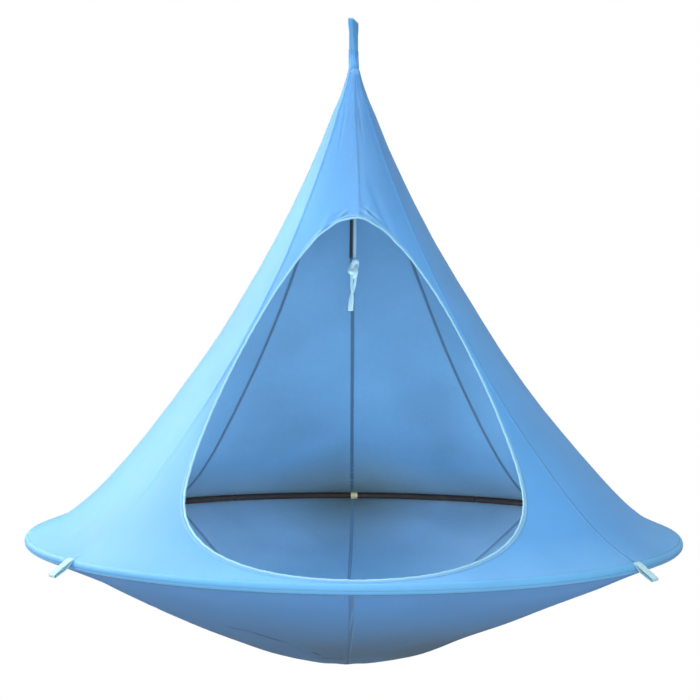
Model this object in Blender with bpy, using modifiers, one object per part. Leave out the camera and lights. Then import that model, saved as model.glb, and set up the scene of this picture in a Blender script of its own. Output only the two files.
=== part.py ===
# A round hanging tent: eight canopy gores and eight floor gores sewn to a band round a tube ring,
# a door with piped edge, a neck on a webbing strap with an eye, stay loops at the rim and a knotted
# tie inside. Metres, +Z up. The origin is the point in the strap's eye that a hook would touch, and
# the door faces -Y. Angles round the tent start at the door and run towards +X.
# Shapes are drawn in heights above the plane of the ring, and parenting puts them in place.
from math import asin, atan2, ceil, cos, pi, radians, sin, sqrt

import bmesh
import bpy
from mathutils import Matrix, Vector

# Ring
RING_RADIUS = 0.900
TUBE_RADIUS = 0.011
TUBE_WALL = 0.0015
TUBE_SIDES = 12
TUBE_SECTIONS = 6
SPIGOT_WALL = 0.0012
SPIGOT_LENGTH = 0.080
FACETS_PER_GORE = 6

# Fabric and the gaps that keep touching pieces apart
FABRIC = 0.002
CLEARANCE = 0.0003
SEAM_GAP = 0.0004

# Canopy, from the ring up to the neck
GORES = 8
NECK_HEIGHT = 1.354
NECK_RADIUS = 0.0186
CANOPY_RIM_ANGLE = radians(19.2)
CANOPY_RIM_PULL = 0.228
CANOPY_NECK_ANGLE = radians(16.2)
CANOPY_NECK_PULL = 0.587
CANOPY_ROWS = 18
DOOR_COLUMNS = 5

# Floor bowl, from the ring down to the flat patch
FLOOR_DEPTH = 0.357
PATCH_RADIUS = 0.110
FLOOR_RIM_ANGLE = radians(19.9)
FLOOR_RIM_PULL = 0.072
FLOOR_PATCH_ANGLE = radians(6.7)
FLOOR_PATCH_PULL = 0.201
FLOOR_ROWS = 8

# Door, as the outline seen from the front
DOOR_TOP = 0.872
DOOR_TOP_PULL = 0.166
DOOR_HALF_WIDTH = 0.395
DOOR_WIDEST_HEIGHT = 0.166
DOOR_PULL_UP = 0.174
DOOR_PULL_DOWN = 0.122
DOOR_SILL = 0.0039
DOOR_BOTTOM_PULL = 0.220
DOOR_FAN_HEIGHT = 0.780
DOOR_MARGIN = 0.014
DOOR_SAMPLES = 200
PIPING_RADIUS = 0.0035

# Tapes that tie the seams to the ring
TAPE_WIDTH = 0.025
TAPE_THICKNESS = 0.0015
TAPE_HALF_WRAP = radians(77)

# Stay loops at the rim
LOOP_WIDTH = 0.025
LOOP_LENGTH = 0.060
LOOP_PLY = 0.0018
LOOP_SLOT = 0.005
LOOP_DROOP = radians(30)
LOOP_TAPER_START = 0.003
LOOP_TAPER_END = 0.012
LOOP_ANGLES = {
    "front_right": radians(45),
    "back_right": radians(135),
    "back_left": radians(225),
    "front_left": radians(315),
}

# Strap and the gathered bundle that it passes through at the neck
STRAP_WIDTH = 0.030
STRAP_PLY = 0.0025
EYE_RADIUS = 0.007
EYE_TAPER = 0.025
STRAP_RISE = 0.1545
SLOT_BELOW_PIVOT = 0.0035

# Tie that hangs from the neck inside
CORD_RADIUS = 0.0045
STRAND_SPREAD = 0.0055
KNOT_TOP = 0.790
KNOT_SIZE = (0.030, 0.024, 0.060)
KNOT_ROUNDING = 0.005
TAIL_RADIUS = 0.0032
TAIL_TWIST_RADIUS = 0.0038
TAIL_LENGTH = 0.095
TAIL_TURN = pi
TAIL_POINTS = 12
CORD_STEP = 0.022

SHEET_OFFSET = TUBE_RADIUS + CLEARANCE + FABRIC / 2
DOOR_BOTTOM = SHEET_OFFSET * cos(CANOPY_RIM_ANGLE) + DOOR_SILL
GORE_ANGLE = 2 * pi / GORES
FACET_ANGLE = GORE_ANGLE / FACETS_PER_GORE
SHARP_ANGLE = radians(40)
HALVINGS = 50
NORMAL_STEP = 0.001
ARC_STEPS = 20
EYE_STEPS = 12
EYE_OUTSIDE_STEPS = 16
LOOP_FOLD_STEPS = 6
LOOP_TIP_STEPS = 10
LOOP_SLOT_STEPS = 8
CURVE_STEPS = 20
BALL_SIDES = 24
ROUNDING_STEPS = 3
SIDES = (
    "front_right",
    "right_front",
    "right_back",
    "back_right",
    "back_left",
    "left_back",
    "left_front",
    "front_left",
)
SECTION_NAMES = ("front", "front_right", "back_right", "back", "back_left", "front_left")
SPIGOT_NAMES = ("front_right", "right", "back_right", "back_left", "left", "front_left")
TIE_NAMES = ("front", "front_right", "right", "back_right", "back", "back_left", "left", "front_left")


def clear_scene():
    for thing in list(bpy.data.objects):
        bpy.data.objects.remove(thing)


def new_collection(name):
    made = bpy.data.collections.new(name)
    bpy.context.scene.collection.children.link(made)
    return made


def new_material(name, colour, roughness, metallic=0.0):
    made = bpy.data.materials.new(name)
    made.use_nodes = True
    shader = made.node_tree.nodes["Principled BSDF"]
    shader.inputs["Base Color"].default_value = (*colour, 1.0)
    shader.inputs["Roughness"].default_value = roughness
    shader.inputs["Metallic"].default_value = metallic
    return made


clear_scene()
PARTS = new_collection("hanging_tent")
CUTTERS = new_collection("cutters")
CUTTERS.hide_render = True

CANOPY_CLOTH = new_material("canopy_cloth", (0.20, 0.47, 0.80), 0.8)
FLOOR_CLOTH = new_material("floor_cloth", (0.12, 0.28, 0.50), 0.85)
BAND_CLOTH = new_material("band_cloth", (0.22, 0.50, 0.84), 0.8)
PIPING_CLOTH = new_material("piping_cloth", (0.60, 0.86, 1.00), 0.7)
WEBBING = new_material("webbing", (0.16, 0.40, 0.70), 0.75)
CORD_CLOTH = new_material("cord_cloth", (0.36, 0.68, 0.92), 0.8)
TAPE_CLOTH = new_material("tape_cloth", (0.50, 0.42, 0.32), 0.85)
RING_PAINT = new_material("ring_paint", (0.015, 0.012, 0.012), 0.4)
SPIGOT_STEEL = new_material("spigot_steel", (0.45, 0.45, 0.46), 0.35, 1.0)


def new_empty(name, parent, location):
    made = bpy.data.objects.new(name, None)
    PARTS.objects.link(made)
    made.parent = parent
    made.location = location
    return made


HOOK_POINT = new_empty("hook_point", None, (0, 0, 0))
NECK_PIVOT = new_empty("neck_pivot", HOOK_POINT, (0, 0, -STRAP_RISE))
RING_CENTRE = new_empty("ring_centre", NECK_PIVOT, (0, 0, -NECK_HEIGHT))
TIE_PIVOT = new_empty("tie_pivot", NECK_PIVOT, (0, 0, 0))


def add_part(name, data, material, parent, location=(0, 0, 0)):
    made = bpy.data.objects.new(name, data)
    data.materials.append(material)
    PARTS.objects.link(made)
    made.parent = parent
    made.location = location
    return made


def bezier(ends_and_pulls, t):
    """The point at t on a cubic curve given by four (radius, height) points."""
    weights = ((1 - t) ** 3, 3 * (1 - t) ** 2 * t, 3 * (1 - t) * t * t, t**3)
    return tuple(sum(w * p[axis] for w, p in zip(weights, ends_and_pulls)) for axis in (0, 1))


def canopy_line():
    """The canopy's profile: it leaves the tube along a tangent and hangs in a hollow curve to the neck."""
    a = CANOPY_RIM_ANGLE
    b = CANOPY_NECK_ANGLE
    start = (RING_RADIUS + SHEET_OFFSET * sin(a), SHEET_OFFSET * cos(a))
    end = (NECK_RADIUS, NECK_HEIGHT)
    return (
        start,
        (start[0] - CANOPY_RIM_PULL * cos(a), start[1] + CANOPY_RIM_PULL * sin(a)),
        (end[0] + CANOPY_NECK_PULL * sin(b), end[1] - CANOPY_NECK_PULL * cos(b)),
        end,
    )


def floor_line():
    """The bowl's profile, from under the tube to the edge of the flat patch."""
    a = FLOOR_RIM_ANGLE
    b = FLOOR_PATCH_ANGLE
    start = (RING_RADIUS + SHEET_OFFSET * sin(a), -SHEET_OFFSET * cos(a))
    end = (PATCH_RADIUS, -FLOOR_DEPTH)
    return (
        start,
        (start[0] - FLOOR_RIM_PULL * cos(a), start[1] - FLOOR_RIM_PULL * sin(a)),
        (end[0] + FLOOR_PATCH_PULL * cos(b), end[1] + FLOOR_PATCH_PULL * sin(b)),
        end,
    )


CANOPY = canopy_line()
FLOOR = floor_line()


def polar(radius, angle, height, shift=0.0):
    """A point round the axis, moved by shift along the direction of growing angle."""
    return Vector(
        (
            radius * sin(angle) + shift * cos(angle),
            -radius * cos(angle) + shift * sin(angle),
            height,
        )
    )


def facet_radius(radius, angle):
    """The radius, at any angle, of a ring whose corners lie one facet angle apart at this radius."""
    within = angle % FACET_ANGLE
    return radius * cos(FACET_ANGLE / 2) / cos(within - FACET_ANGLE / 2)


def finished_mesh(name, shape):
    """A mesh from a finished bmesh, smooth but for its sharp edges."""
    mesh = bpy.data.meshes.new(name)
    shape.to_mesh(mesh)
    shape.free()
    mesh.shade_smooth()
    mesh.set_sharp_from_angle(angle=SHARP_ANGLE)
    return mesh


def sheet_mesh(name, rows, closed=False):
    """A grid of quads through rows of points. A closed sheet joins each row's last point to its first."""
    made = bmesh.new()
    grid = [[made.verts.new(point) for point in row] for row in rows]
    columns = len(rows[0]) if closed else len(rows[0]) - 1
    for lower, upper in zip(grid, grid[1:]):
        for i in range(columns):
            j = (i + 1) % len(lower)
            made.faces.new((lower[i], lower[j], upper[j], upper[i]))
    return finished_mesh(name, made)


def add_sheet(name, rows, thickness, material, parent, closed=False):
    """A shell of even thickness, half on each side of the sheet."""
    made = add_part(name, sheet_mesh(name, rows, closed), material, parent)
    shell = made.modifiers.new("thickness", "SOLIDIFY")
    shell.thickness = thickness
    shell.offset = 0
    return made


def seam_shift(column, columns):
    """Half of the seam gap, away from the seam, on a gore's first and last column."""
    if column == 0:
        return SEAM_GAP / 2
    if column == columns:
        return -SEAM_GAP / 2
    return 0.0


def gore_rows(profile, rows, start_angle, last_t=1.0):
    """Points of one gore between two seams, row by row along its profile."""
    made = []
    for row in range(rows + 1):
        radius, height = bezier(profile, last_t * row / rows)
        made.append(
            [
                polar(
                    radius,
                    start_angle + FACET_ANGLE * column,
                    height,
                    seam_shift(column, FACETS_PER_GORE),
                )
                for column in range(FACETS_PER_GORE + 1)
            ]
        )
    return made


def t_at_height(height):
    """Where the canopy's profile passes this height."""
    low = 0.0
    high = 1.0
    for _ in range(HALVINGS):
        middle = (low + high) / 2
        if bezier(CANOPY, middle)[1] < height:
            low = middle
        else:
            high = middle
    return (low + high) / 2


def door_samples():
    """The piping's centre line on one half of the door, from bottom to top, always rising."""
    lower = (
        (0.0, DOOR_BOTTOM),
        (DOOR_BOTTOM_PULL, DOOR_BOTTOM),
        (DOOR_HALF_WIDTH, DOOR_WIDEST_HEIGHT - DOOR_PULL_DOWN),
        (DOOR_HALF_WIDTH, DOOR_WIDEST_HEIGHT),
    )
    upper = (
        (DOOR_HALF_WIDTH, DOOR_WIDEST_HEIGHT),
        (DOOR_HALF_WIDTH, DOOR_WIDEST_HEIGHT + DOOR_PULL_UP),
        (DOOR_TOP_PULL, DOOR_TOP),
        (0.0, DOOR_TOP),
    )
    fine = [bezier(lower, i / DOOR_SAMPLES) for i in range(DOOR_SAMPLES)]
    fine += [bezier(upper, i / DOOR_SAMPLES) for i in range(DOOR_SAMPLES + 1)]
    points = []
    for across, height in fine:
        radius = bezier(CANOPY, t_at_height(height))[0]
        across = min(across, radius * sin(GORE_ANGLE - DOOR_MARGIN / radius))
        points.append(Vector((across, -sqrt(radius**2 - across**2), height)))
    return points


def point_at_height(points, height):
    """The place on a rising line that has this height."""
    for before, after in zip(points, points[1:]):
        if after.z >= height:
            return before.lerp(after, (height - before.z) / (after.z - before.z))
    return points[-1]


def door_outline():
    """Half of the door's line. Beside the seam its points lie level with the seam's own points, and
    the rest are spread along the bottom and the top."""
    fine = door_samples()
    heights = [bezier(CANOPY, i / CANOPY_ROWS)[1] for i in range(1, CANOPY_ROWS)]
    low = [height for height in heights if height <= DOOR_BOTTOM]
    level = [height for height in heights if DOOR_BOTTOM < height < DOOR_FAN_HEIGHT]
    high = [height for height in heights if height >= DOOR_FAN_HEIGHT]
    middle = [point_at_height(fine, height) for height in level]
    below = [point for point in fine if point.z < level[0]] + middle[:1]
    above = middle[-1:] + [point for point in fine if point.z > level[-1]]
    lower = even_steps(below, FACETS_PER_GORE + len(low) + 1)
    upper = even_steps(above, FACETS_PER_GORE + len(high) + 1)
    return lower[:-1] + middle + upper[1:]


def even_steps(points, steps):
    """The same line with its points at equal distances."""
    lengths = [0.0]
    for before, after in zip(points, points[1:]):
        lengths.append(lengths[-1] + (after - before).length)
    made = []
    segment = 0
    for i in range(steps + 1):
        target = lengths[-1] * i / steps
        while segment < len(points) - 2 and lengths[segment + 1] < target:
            segment += 1
        share = (target - lengths[segment]) / (lengths[segment + 1] - lengths[segment])
        made.append(points[segment].lerp(points[segment + 1], min(share, 1.0)))
    return made


def surface_normal(angle, t):
    """The outward normal of the canopy at this angle and place on its profile."""
    before = bezier(CANOPY, max(t - NORMAL_STEP, 0.0))
    after = bezier(CANOPY, min(t + NORMAL_STEP, 1.0))
    along = Vector((after[0] - before[0], after[1] - before[1])).normalized()
    return polar(along[1], angle, -along[0]).normalized()


def door_edge(line):
    """The fabric's edge beside the piping, as (angle, t) pairs on the canopy."""
    made = []
    for i, point in enumerate(line):
        ahead = line[min(i + 1, len(line) - 1)]
        behind = line[max(i - 1, 0)]
        along = (ahead - behind).normalized()
        if i in (0, len(line) - 1):
            along = Vector((1 if i == 0 else -1, 0, 0))
        angle = atan2(point.x, -point.y)
        normal = surface_normal(angle, t_at_height(point.z))
        edge = point + along.cross(normal).normalized() * (PIPING_RADIUS + CLEARANCE)
        made.append((atan2(edge.x, -edge.y), t_at_height(edge.z)))
    return made


DOOR_STEPS = 2 * FACETS_PER_GORE + CANOPY_ROWS
DOOR_LINE = door_outline()


def front_gore_rows(side):
    """Points of a front gore, in rows that run from the door's edge out to the rim, seam and neck."""
    inner = door_edge(DOOR_LINE)
    outer = [(FACET_ANGLE * i, 0.0) for i in range(FACETS_PER_GORE)]
    outer += [(GORE_ANGLE, i / CANOPY_ROWS) for i in range(CANOPY_ROWS)]
    outer += [(GORE_ANGLE - FACET_ANGLE * i, 1.0) for i in range(FACETS_PER_GORE + 1)]
    corner = FACETS_PER_GORE + CANOPY_ROWS
    made = []
    for i, (near, far) in enumerate(zip(inner, outer)):
        row = []
        for column in range(DOOR_COLUMNS + 1):
            share = column / DOOR_COLUMNS
            radius, height = bezier(CANOPY, near[1] + (far[1] - near[1]) * share)
            shift = 0.0
            if i in (0, DOOR_STEPS):
                shift = SEAM_GAP / 2
            elif column == DOOR_COLUMNS and FACETS_PER_GORE <= i <= corner:
                shift = -SEAM_GAP / 2
            angle = near[0] + (far[0] - near[0]) * share
            row.append(polar(radius, side * angle, height, side * shift))
        made.append(row)
    return made


def add_canopy():
    for index, side in enumerate(SIDES):
        name = "canopy_gore_" + side
        if side == "front_right":
            rows = front_gore_rows(1)
        elif side == "front_left":
            rows = front_gore_rows(-1)
        else:
            rows = gore_rows(CANOPY, CANOPY_ROWS, GORE_ANGLE * index)
        add_sheet(name, rows, FABRIC, CANOPY_CLOTH, RING_CENTRE)


def add_floor():
    patch_gap = 1 - SEAM_GAP / (3 * FLOOR_PATCH_PULL)
    for index, side in enumerate(SIDES):
        rows = gore_rows(FLOOR, FLOOR_ROWS, GORE_ANGLE * index, last_t=patch_gap)
        add_sheet("floor_gore_" + side, rows, FABRIC, FLOOR_CLOTH, RING_CENTRE)
    disc = bmesh.new()
    bmesh.ops.create_cone(
        disc,
        cap_ends=True,
        segments=GORES * FACETS_PER_GORE,
        radius1=PATCH_RADIUS,
        radius2=PATCH_RADIUS,
        depth=FABRIC,
    )
    mesh = finished_mesh("floor_patch", disc)
    add_part("floor_patch", mesh, FLOOR_CLOTH, RING_CENTRE, (0, 0, -FLOOR_DEPTH))


def ring_rows(angles, turns, distance, shifts):
    """Rows of points round the tube's section, one row for each angle round the ring.
    turns are the places on the section, from the outer side upwards, at this distance from its centre."""
    made = []
    for angle, shift in zip(angles, shifts):
        row = []
        for turn in turns:
            radius = RING_RADIUS + distance * cos(turn)
            row.append(polar(facet_radius(radius, angle), angle, distance * sin(turn), shift))
        made.append(row)
    return made


def add_ring():
    side_angle = 2 * pi / TUBE_SIDES
    turns = [side_angle * i for i in range(TUBE_SIDES)]
    section_angle = 2 * pi / TUBE_SECTIONS
    facets = round(section_angle / FACET_ANGLE)
    for index, name in enumerate(SECTION_NAMES):
        start = section_angle * (index - 0.5)
        angles = [start + FACET_ANGLE * i for i in range(facets + 1)]
        shifts = [CLEARANCE / 2] + [0.0] * (facets - 1) + [-CLEARANCE / 2]
        rows = ring_rows(angles, turns, TUBE_RADIUS - TUBE_WALL / 2, shifts)
        add_sheet("ring_tube_" + name, rows, TUBE_WALL, RING_PAINT, RING_CENTRE, closed=True)
    half = SPIGOT_LENGTH / 2 / RING_RADIUS
    outside = TUBE_RADIUS - TUBE_WALL - CLEARANCE
    for index, name in enumerate(SPIGOT_NAMES):
        middle = section_angle * (index + 0.5)
        rows = ring_rows((middle - half, middle, middle + half), turns, outside - SPIGOT_WALL / 2, (0, 0, 0))
        add_sheet("ring_spigot_" + name, rows, SPIGOT_WALL, SPIGOT_STEEL, RING_CENTRE, closed=True)


def add_band():
    """The band sewn round the outside of the ring, between the canopy's edge and the floor's."""
    gap_angle = SEAM_GAP / SHEET_OFFSET
    top = pi / 2 - CANOPY_RIM_ANGLE - gap_angle
    bottom = -pi / 2 + FLOOR_RIM_ANGLE + gap_angle
    side_angle = 2 * pi / TUBE_SIDES
    inner = [side_angle * i for i in (-2, -1, 0, 1, 2)]
    turns = [bottom] + inner + [top]
    angles = [FACET_ANGLE * i for i in range(GORES * FACETS_PER_GORE)]
    rows = ring_rows(angles, turns, SHEET_OFFSET, [0.0] * len(angles))
    round_rows = [[row[i] for row in rows] for i in range(len(turns))]
    add_sheet("rim_band", round_rows, FABRIC, BAND_CLOTH, RING_CENTRE, closed=True)


def add_ring_ties():
    side_angle = 2 * pi / TUBE_SIDES
    inner = [pi + side_angle * i for i in (-2, -1, 0, 1, 2)]
    turns = [pi - TAPE_HALF_WRAP] + inner + [pi + TAPE_HALF_WRAP]
    half = TAPE_WIDTH / 2 / RING_RADIUS
    distance = TUBE_RADIUS + CLEARANCE + TAPE_THICKNESS / 2
    for index, name in enumerate(TIE_NAMES):
        middle = GORE_ANGLE * index
        rows = ring_rows((middle - half, middle, middle + half), turns, distance, (0, 0, 0))
        add_sheet("ring_tie_" + name, rows, TAPE_THICKNESS, TAPE_CLOTH, RING_CENTRE)


def new_tube(name, points, radius, cyclic=False):
    """A round tube along points, with flat ends."""
    curve = bpy.data.curves.new(name, "CURVE")
    curve.dimensions = "3D"
    curve.bevel_depth = radius
    curve.bevel_resolution = 2
    curve.use_fill_caps = not cyclic
    spline = curve.splines.new("POLY")
    spline.points.add(len(points) - 1)
    for place, point in zip(spline.points, points):
        place.co = (*point, 1.0)
    spline.use_cyclic_u = cyclic
    return curve


def add_piping():
    right = DOOR_LINE
    left = [Vector((-point.x, point.y, point.z)) for point in reversed(DOOR_LINE[1:-1])]
    tube = new_tube("door_piping", right + left, PIPING_RADIUS, cyclic=True)
    add_part("door_piping", tube, PIPING_CLOTH, RING_CENTRE)


def arc(centre, radius, start, end, steps):
    """Points on a circle in the plane, from one angle to another."""
    return [
        (
            centre[0] + radius * cos(start + (end - start) * i / steps),
            centre[1] + radius * sin(start + (end - start) * i / steps),
        )
        for i in range(steps + 1)
    ]


def new_plate(name, outlines, half_thickness):
    """A flat plate with this outline, and a hole for each further one."""
    curve = bpy.data.curves.new(name, "CURVE")
    curve.dimensions = "2D"
    curve.fill_mode = "BOTH"
    curve.extrude = half_thickness
    for outline in outlines:
        spline = curve.splines.new("POLY")
        spline.points.add(len(outline) - 1)
        for place, (x, y) in zip(spline.points, outline):
            place.co = (x, y, 0.0, 1.0)
        spline.use_cyclic_u = True
    return curve


def add_stay_loops():
    """Each loop is drawn flat, x outwards from its sewn end and y across its plies, about its hinge."""
    end_radius = LOOP_PLY
    full = 2 * LOOP_PLY + LOOP_SLOT
    tip = full / 2
    slot_radius = LOOP_SLOT / 2
    base = -end_radius
    far = (LOOP_LENGTH - tip, base + tip)
    near = (LOOP_TAPER_END + slot_radius, base + tip)
    outline = arc((0, 0), end_radius, pi / 2, 3 * pi / 2, LOOP_FOLD_STEPS)
    outline += arc(far, tip, -pi / 2, pi / 2, LOOP_TIP_STEPS)
    outline += [(LOOP_TAPER_END, base + full), (LOOP_TAPER_START, end_radius)]
    slot = arc(far, slot_radius, -pi / 2, pi / 2, LOOP_SLOT_STEPS)
    slot += arc(near, slot_radius, pi / 2, 3 * pi / 2, LOOP_SLOT_STEPS)
    contact = pi / 2 - LOOP_DROOP
    distance = SHEET_OFFSET + FABRIC / 2 + CLEARANCE + end_radius
    for side, angle in LOOP_ANGLES.items():
        name = "stay_loop_" + side
        made = add_part(name, new_plate(name, (outline, slot), LOOP_WIDTH / 2), WEBBING, RING_CENTRE)
        along = polar(cos(LOOP_DROOP), angle, -sin(LOOP_DROOP))
        across = polar(sin(LOOP_DROOP), angle, cos(LOOP_DROOP))
        turn = Matrix((along, across, along.cross(across))).transposed().to_4x4()
        place = polar(RING_RADIUS + distance * cos(contact), angle, distance * sin(contact))
        made.matrix_local = Matrix.Translation(place) @ turn


def mesh_of(thing):
    """Turns a curve object into a mesh object in the same place, with its caps welded on."""
    graph = bpy.context.evaluated_depsgraph_get()
    mesh = bpy.data.meshes.new_from_object(thing.evaluated_get(graph))
    welded = bmesh.new()
    welded.from_mesh(mesh)
    bmesh.ops.remove_doubles(welded, verts=welded.verts, dist=0.00001)
    bmesh.ops.recalc_face_normals(welded, faces=welded.faces)
    welded.to_mesh(mesh)
    welded.free()
    name = thing.name
    made = bpy.data.objects.new(name + "_mesh", mesh)
    for home in thing.users_collection:
        home.objects.link(made)
    made.matrix_world = thing.matrix_world.copy()
    bpy.data.objects.remove(thing)
    made.name = name
    return made


def add_cutter(name, outline, half_thickness, rotation, location):
    cutter = bpy.data.objects.new(name, new_plate(name, (outline,), half_thickness))
    CUTTERS.objects.link(cutter)
    cutter.rotation_euler = rotation
    cutter.location = location
    bpy.context.view_layer.update()
    made = mesh_of(cutter)
    made.hide_render = True
    made.display_type = "WIRE"
    return made


UPRIGHT_ACROSS = (pi / 2, 0, 0)
UPRIGHT_ALONG = (pi / 2, 0, pi / 2)


def add_strap():
    """Doubled webbing that parts into an eye, with a round lower end that turns in the neck bundle."""
    half = STRAP_PLY
    outer = EYE_RADIUS + STRAP_PLY
    eye_centre = -EYE_RADIUS
    eye_foot = eye_centre - EYE_TAPER
    foot = -STRAP_RISE - STRAP_WIDTH
    side_view = [(-half, foot), (half, foot), (half, eye_foot)]
    side_view += arc((0, eye_centre), outer, 0, pi, EYE_OUTSIDE_STEPS)
    side_view += [(-half, eye_foot)]
    eye = [(0, eye_foot)] + arc((0, eye_centre), EYE_RADIUS, 0, pi, EYE_STEPS)
    bar = bpy.data.objects.new("hanging_strap", new_plate("hanging_strap", (side_view, eye), STRAP_WIDTH))
    PARTS.objects.link(bar)
    bar.rotation_euler = UPRIGHT_ALONG
    bpy.context.view_layer.update()
    strap = mesh_of(bar)
    strap.data.materials.clear()
    strap.data.materials.append(WEBBING)
    strap.data.transform(strap.matrix_world)
    strap.matrix_world = Matrix.Identity(4)
    strap.parent = HOOK_POINT
    reach = STRAP_WIDTH / 2
    front_view = arc((0, -STRAP_RISE), reach, pi, 2 * pi, ARC_STEPS)
    front_view += [(reach, 2 * outer), (-reach, 2 * outer)]
    front = add_cutter("strap_front_view", front_view, STRAP_WIDTH, UPRIGHT_ACROSS, (0, 0, 0))
    cut = strap.modifiers.new("front_view", "BOOLEAN")
    cut.operation = "INTERSECT"
    cut.object = front


def add_neck_bundle():
    """The gathered cloth inside the neck: a ball that the canopy turns on, slotted for the strap."""
    seat = (NECK_RADIUS - FABRIC / 2 * cos(CANOPY_NECK_ANGLE)) * cos(FACET_ANGLE / 2)
    ball_radius = seat - CLEARANCE
    ball = bmesh.new()
    bmesh.ops.create_uvsphere(ball, u_segments=BALL_SIDES, v_segments=BALL_SIDES // 2, radius=ball_radius)
    bundle = add_part("neck_bundle", finished_mesh("neck_bundle", ball), CANOPY_CLOTH, NECK_PIVOT)
    trough = STRAP_WIDTH / 2 + CLEARANCE
    side = asin(SLOT_BELOW_PIVOT / trough)
    wide = 2 * trough
    outline = arc((0, 0), trough, pi + side, 2 * pi - side, ARC_STEPS)
    outline += [(wide, 0), (wide, wide), (-wide, wide), (-wide, 0)]
    slot = add_cutter("neck_slot", outline, STRAP_PLY + CLEARANCE, UPRIGHT_ACROSS, (0, 0, -STRAP_RISE))
    cut = bundle.modifiers.new("slot", "BOOLEAN")
    cut.operation = "DIFFERENCE"
    cut.object = slot
    return ball_radius


def smooth_line(points, steps):
    """A smooth curve through the points, at equal steps."""
    fine = []
    padded = [points[0] * 2 - points[1], *points, points[-1] * 2 - points[-2]]
    for a, b, c, d in zip(padded, padded[1:], padded[2:], padded[3:]):
        for i in range(CURVE_STEPS):
            t = i / CURVE_STEPS
            fine.append(
                0.5
                * (
                    2 * b
                    + (c - a) * t
                    + (2 * a - 5 * b + 4 * c - d) * t**2
                    + (3 * b - a - 3 * c + d) * t**3
                )
            )
    fine.append(points[-1])
    return even_steps(fine, steps)


def add_tie(ball_radius):
    """Two strands that hang from the neck bundle to a knot, and two twisted tails below it.
    Heights are measured from the pivot."""
    top = -ball_radius - CLEARANCE
    knot_top = KNOT_TOP - NECK_HEIGHT
    knot_foot = knot_top - KNOT_SIZE[2]
    steps = ceil((top - knot_top) / CORD_STEP)
    for side, sign in (("left", -1), ("right", 1)):
        x = sign * STRAND_SPREAD
        middle = (top + knot_top + CLEARANCE) / 2
        route = [
            Vector((x, 0, top)),
            Vector((x, 0, top - 4 * CORD_RADIUS)),
            Vector((x + sign * CORD_RADIUS / 2, 0, middle)),
            Vector((x, 0, knot_top + 4 * CORD_RADIUS)),
            Vector((x, 0, knot_top + CLEARANCE)),
        ]
        name = "tie_strand_" + side
        add_part(name, new_tube(name, smooth_line(route, steps), CORD_RADIUS), CORD_CLOTH, TIE_PIVOT)
        tail = []
        for i in range(TAIL_POINTS + 1):
            share = i / TAIL_POINTS
            turn = TAIL_TURN * share * share * (3 - 2 * share)
            tail.append(
                Vector(
                    (
                        sign * TAIL_TWIST_RADIUS * cos(turn),
                        sign * TAIL_TWIST_RADIUS * sin(turn),
                        knot_foot - CLEARANCE - TAIL_LENGTH * share,
                    )
                )
            )
        name = "tie_tail_" + side
        add_part(name, new_tube(name, tail, TAIL_RADIUS), CORD_CLOTH, TIE_PIVOT)
    block = bmesh.new()
    bmesh.ops.create_cube(block, size=1.0)
    bmesh.ops.scale(block, vec=KNOT_SIZE, verts=block.verts)
    mesh = finished_mesh("tie_knot", block)
    knot = add_part("tie_knot", mesh, CORD_CLOTH, TIE_PIVOT, (0, 0, (knot_top + knot_foot) / 2))
    rounding = knot.modifiers.new("rounding", "BEVEL")
    rounding.width = KNOT_ROUNDING
    rounding.segments = ROUNDING_STEPS


add_canopy()
add_floor()
add_band()
add_ring()
add_ring_ties()
add_piping()
add_stay_loops()
add_strap()
add_tie(add_neck_bundle())
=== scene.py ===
from math import asin, cos, pi, radians, sin, sqrt

import bpy
import numpy as np
from mathutils import Matrix, Vector


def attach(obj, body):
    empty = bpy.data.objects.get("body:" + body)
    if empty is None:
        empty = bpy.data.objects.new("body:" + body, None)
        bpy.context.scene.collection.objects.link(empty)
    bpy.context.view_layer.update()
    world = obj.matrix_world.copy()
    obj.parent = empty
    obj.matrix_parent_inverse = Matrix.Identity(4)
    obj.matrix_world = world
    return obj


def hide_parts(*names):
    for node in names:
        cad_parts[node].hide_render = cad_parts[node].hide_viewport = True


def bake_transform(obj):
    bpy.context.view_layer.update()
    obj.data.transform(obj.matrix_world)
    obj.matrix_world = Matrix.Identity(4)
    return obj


# The looks of a round hanging tent. Metres, +Z up, and the door faces -Y. Angles round the tent start at
# the door and run towards +X. Heights with no other word are above the plane of the ring.

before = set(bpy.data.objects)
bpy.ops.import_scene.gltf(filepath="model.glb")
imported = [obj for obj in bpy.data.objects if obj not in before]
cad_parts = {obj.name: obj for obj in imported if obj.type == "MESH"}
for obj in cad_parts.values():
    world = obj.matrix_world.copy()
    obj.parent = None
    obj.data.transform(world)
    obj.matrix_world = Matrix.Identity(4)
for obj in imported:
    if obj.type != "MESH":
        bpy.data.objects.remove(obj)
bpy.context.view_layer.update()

# Sizes that the solids have too
RING_RADIUS = 0.900
TUBE_RADIUS = 0.011
TUBE_SECTIONS = 6
FABRIC = 0.002
CLEARANCE = 0.0003
GORES = 8
NECK_HEIGHT = 1.354
NECK_RADIUS = 0.0186
CANOPY_RIM_ANGLE = radians(19.2)
CANOPY_RIM_PULL = 0.228
CANOPY_NECK_ANGLE = radians(16.2)
CANOPY_NECK_PULL = 0.587
FLOOR_DEPTH = 0.357
PATCH_RADIUS = 0.110
FLOOR_RIM_ANGLE = radians(19.9)
FLOOR_RIM_PULL = 0.072
FLOOR_PATCH_ANGLE = radians(6.7)
FLOOR_PATCH_PULL = 0.201
DOOR_TOP = 0.872
DOOR_TOP_PULL = 0.166
DOOR_HALF_WIDTH = 0.395
DOOR_WIDEST_HEIGHT = 0.166
DOOR_PULL_UP = 0.174
DOOR_PULL_DOWN = 0.122
DOOR_SILL = 0.0039
DOOR_BOTTOM_PULL = 0.220
PIPING_RADIUS = 0.0035
TAPE_WIDTH = 0.025
TAPE_THICKNESS = 0.0015
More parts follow.
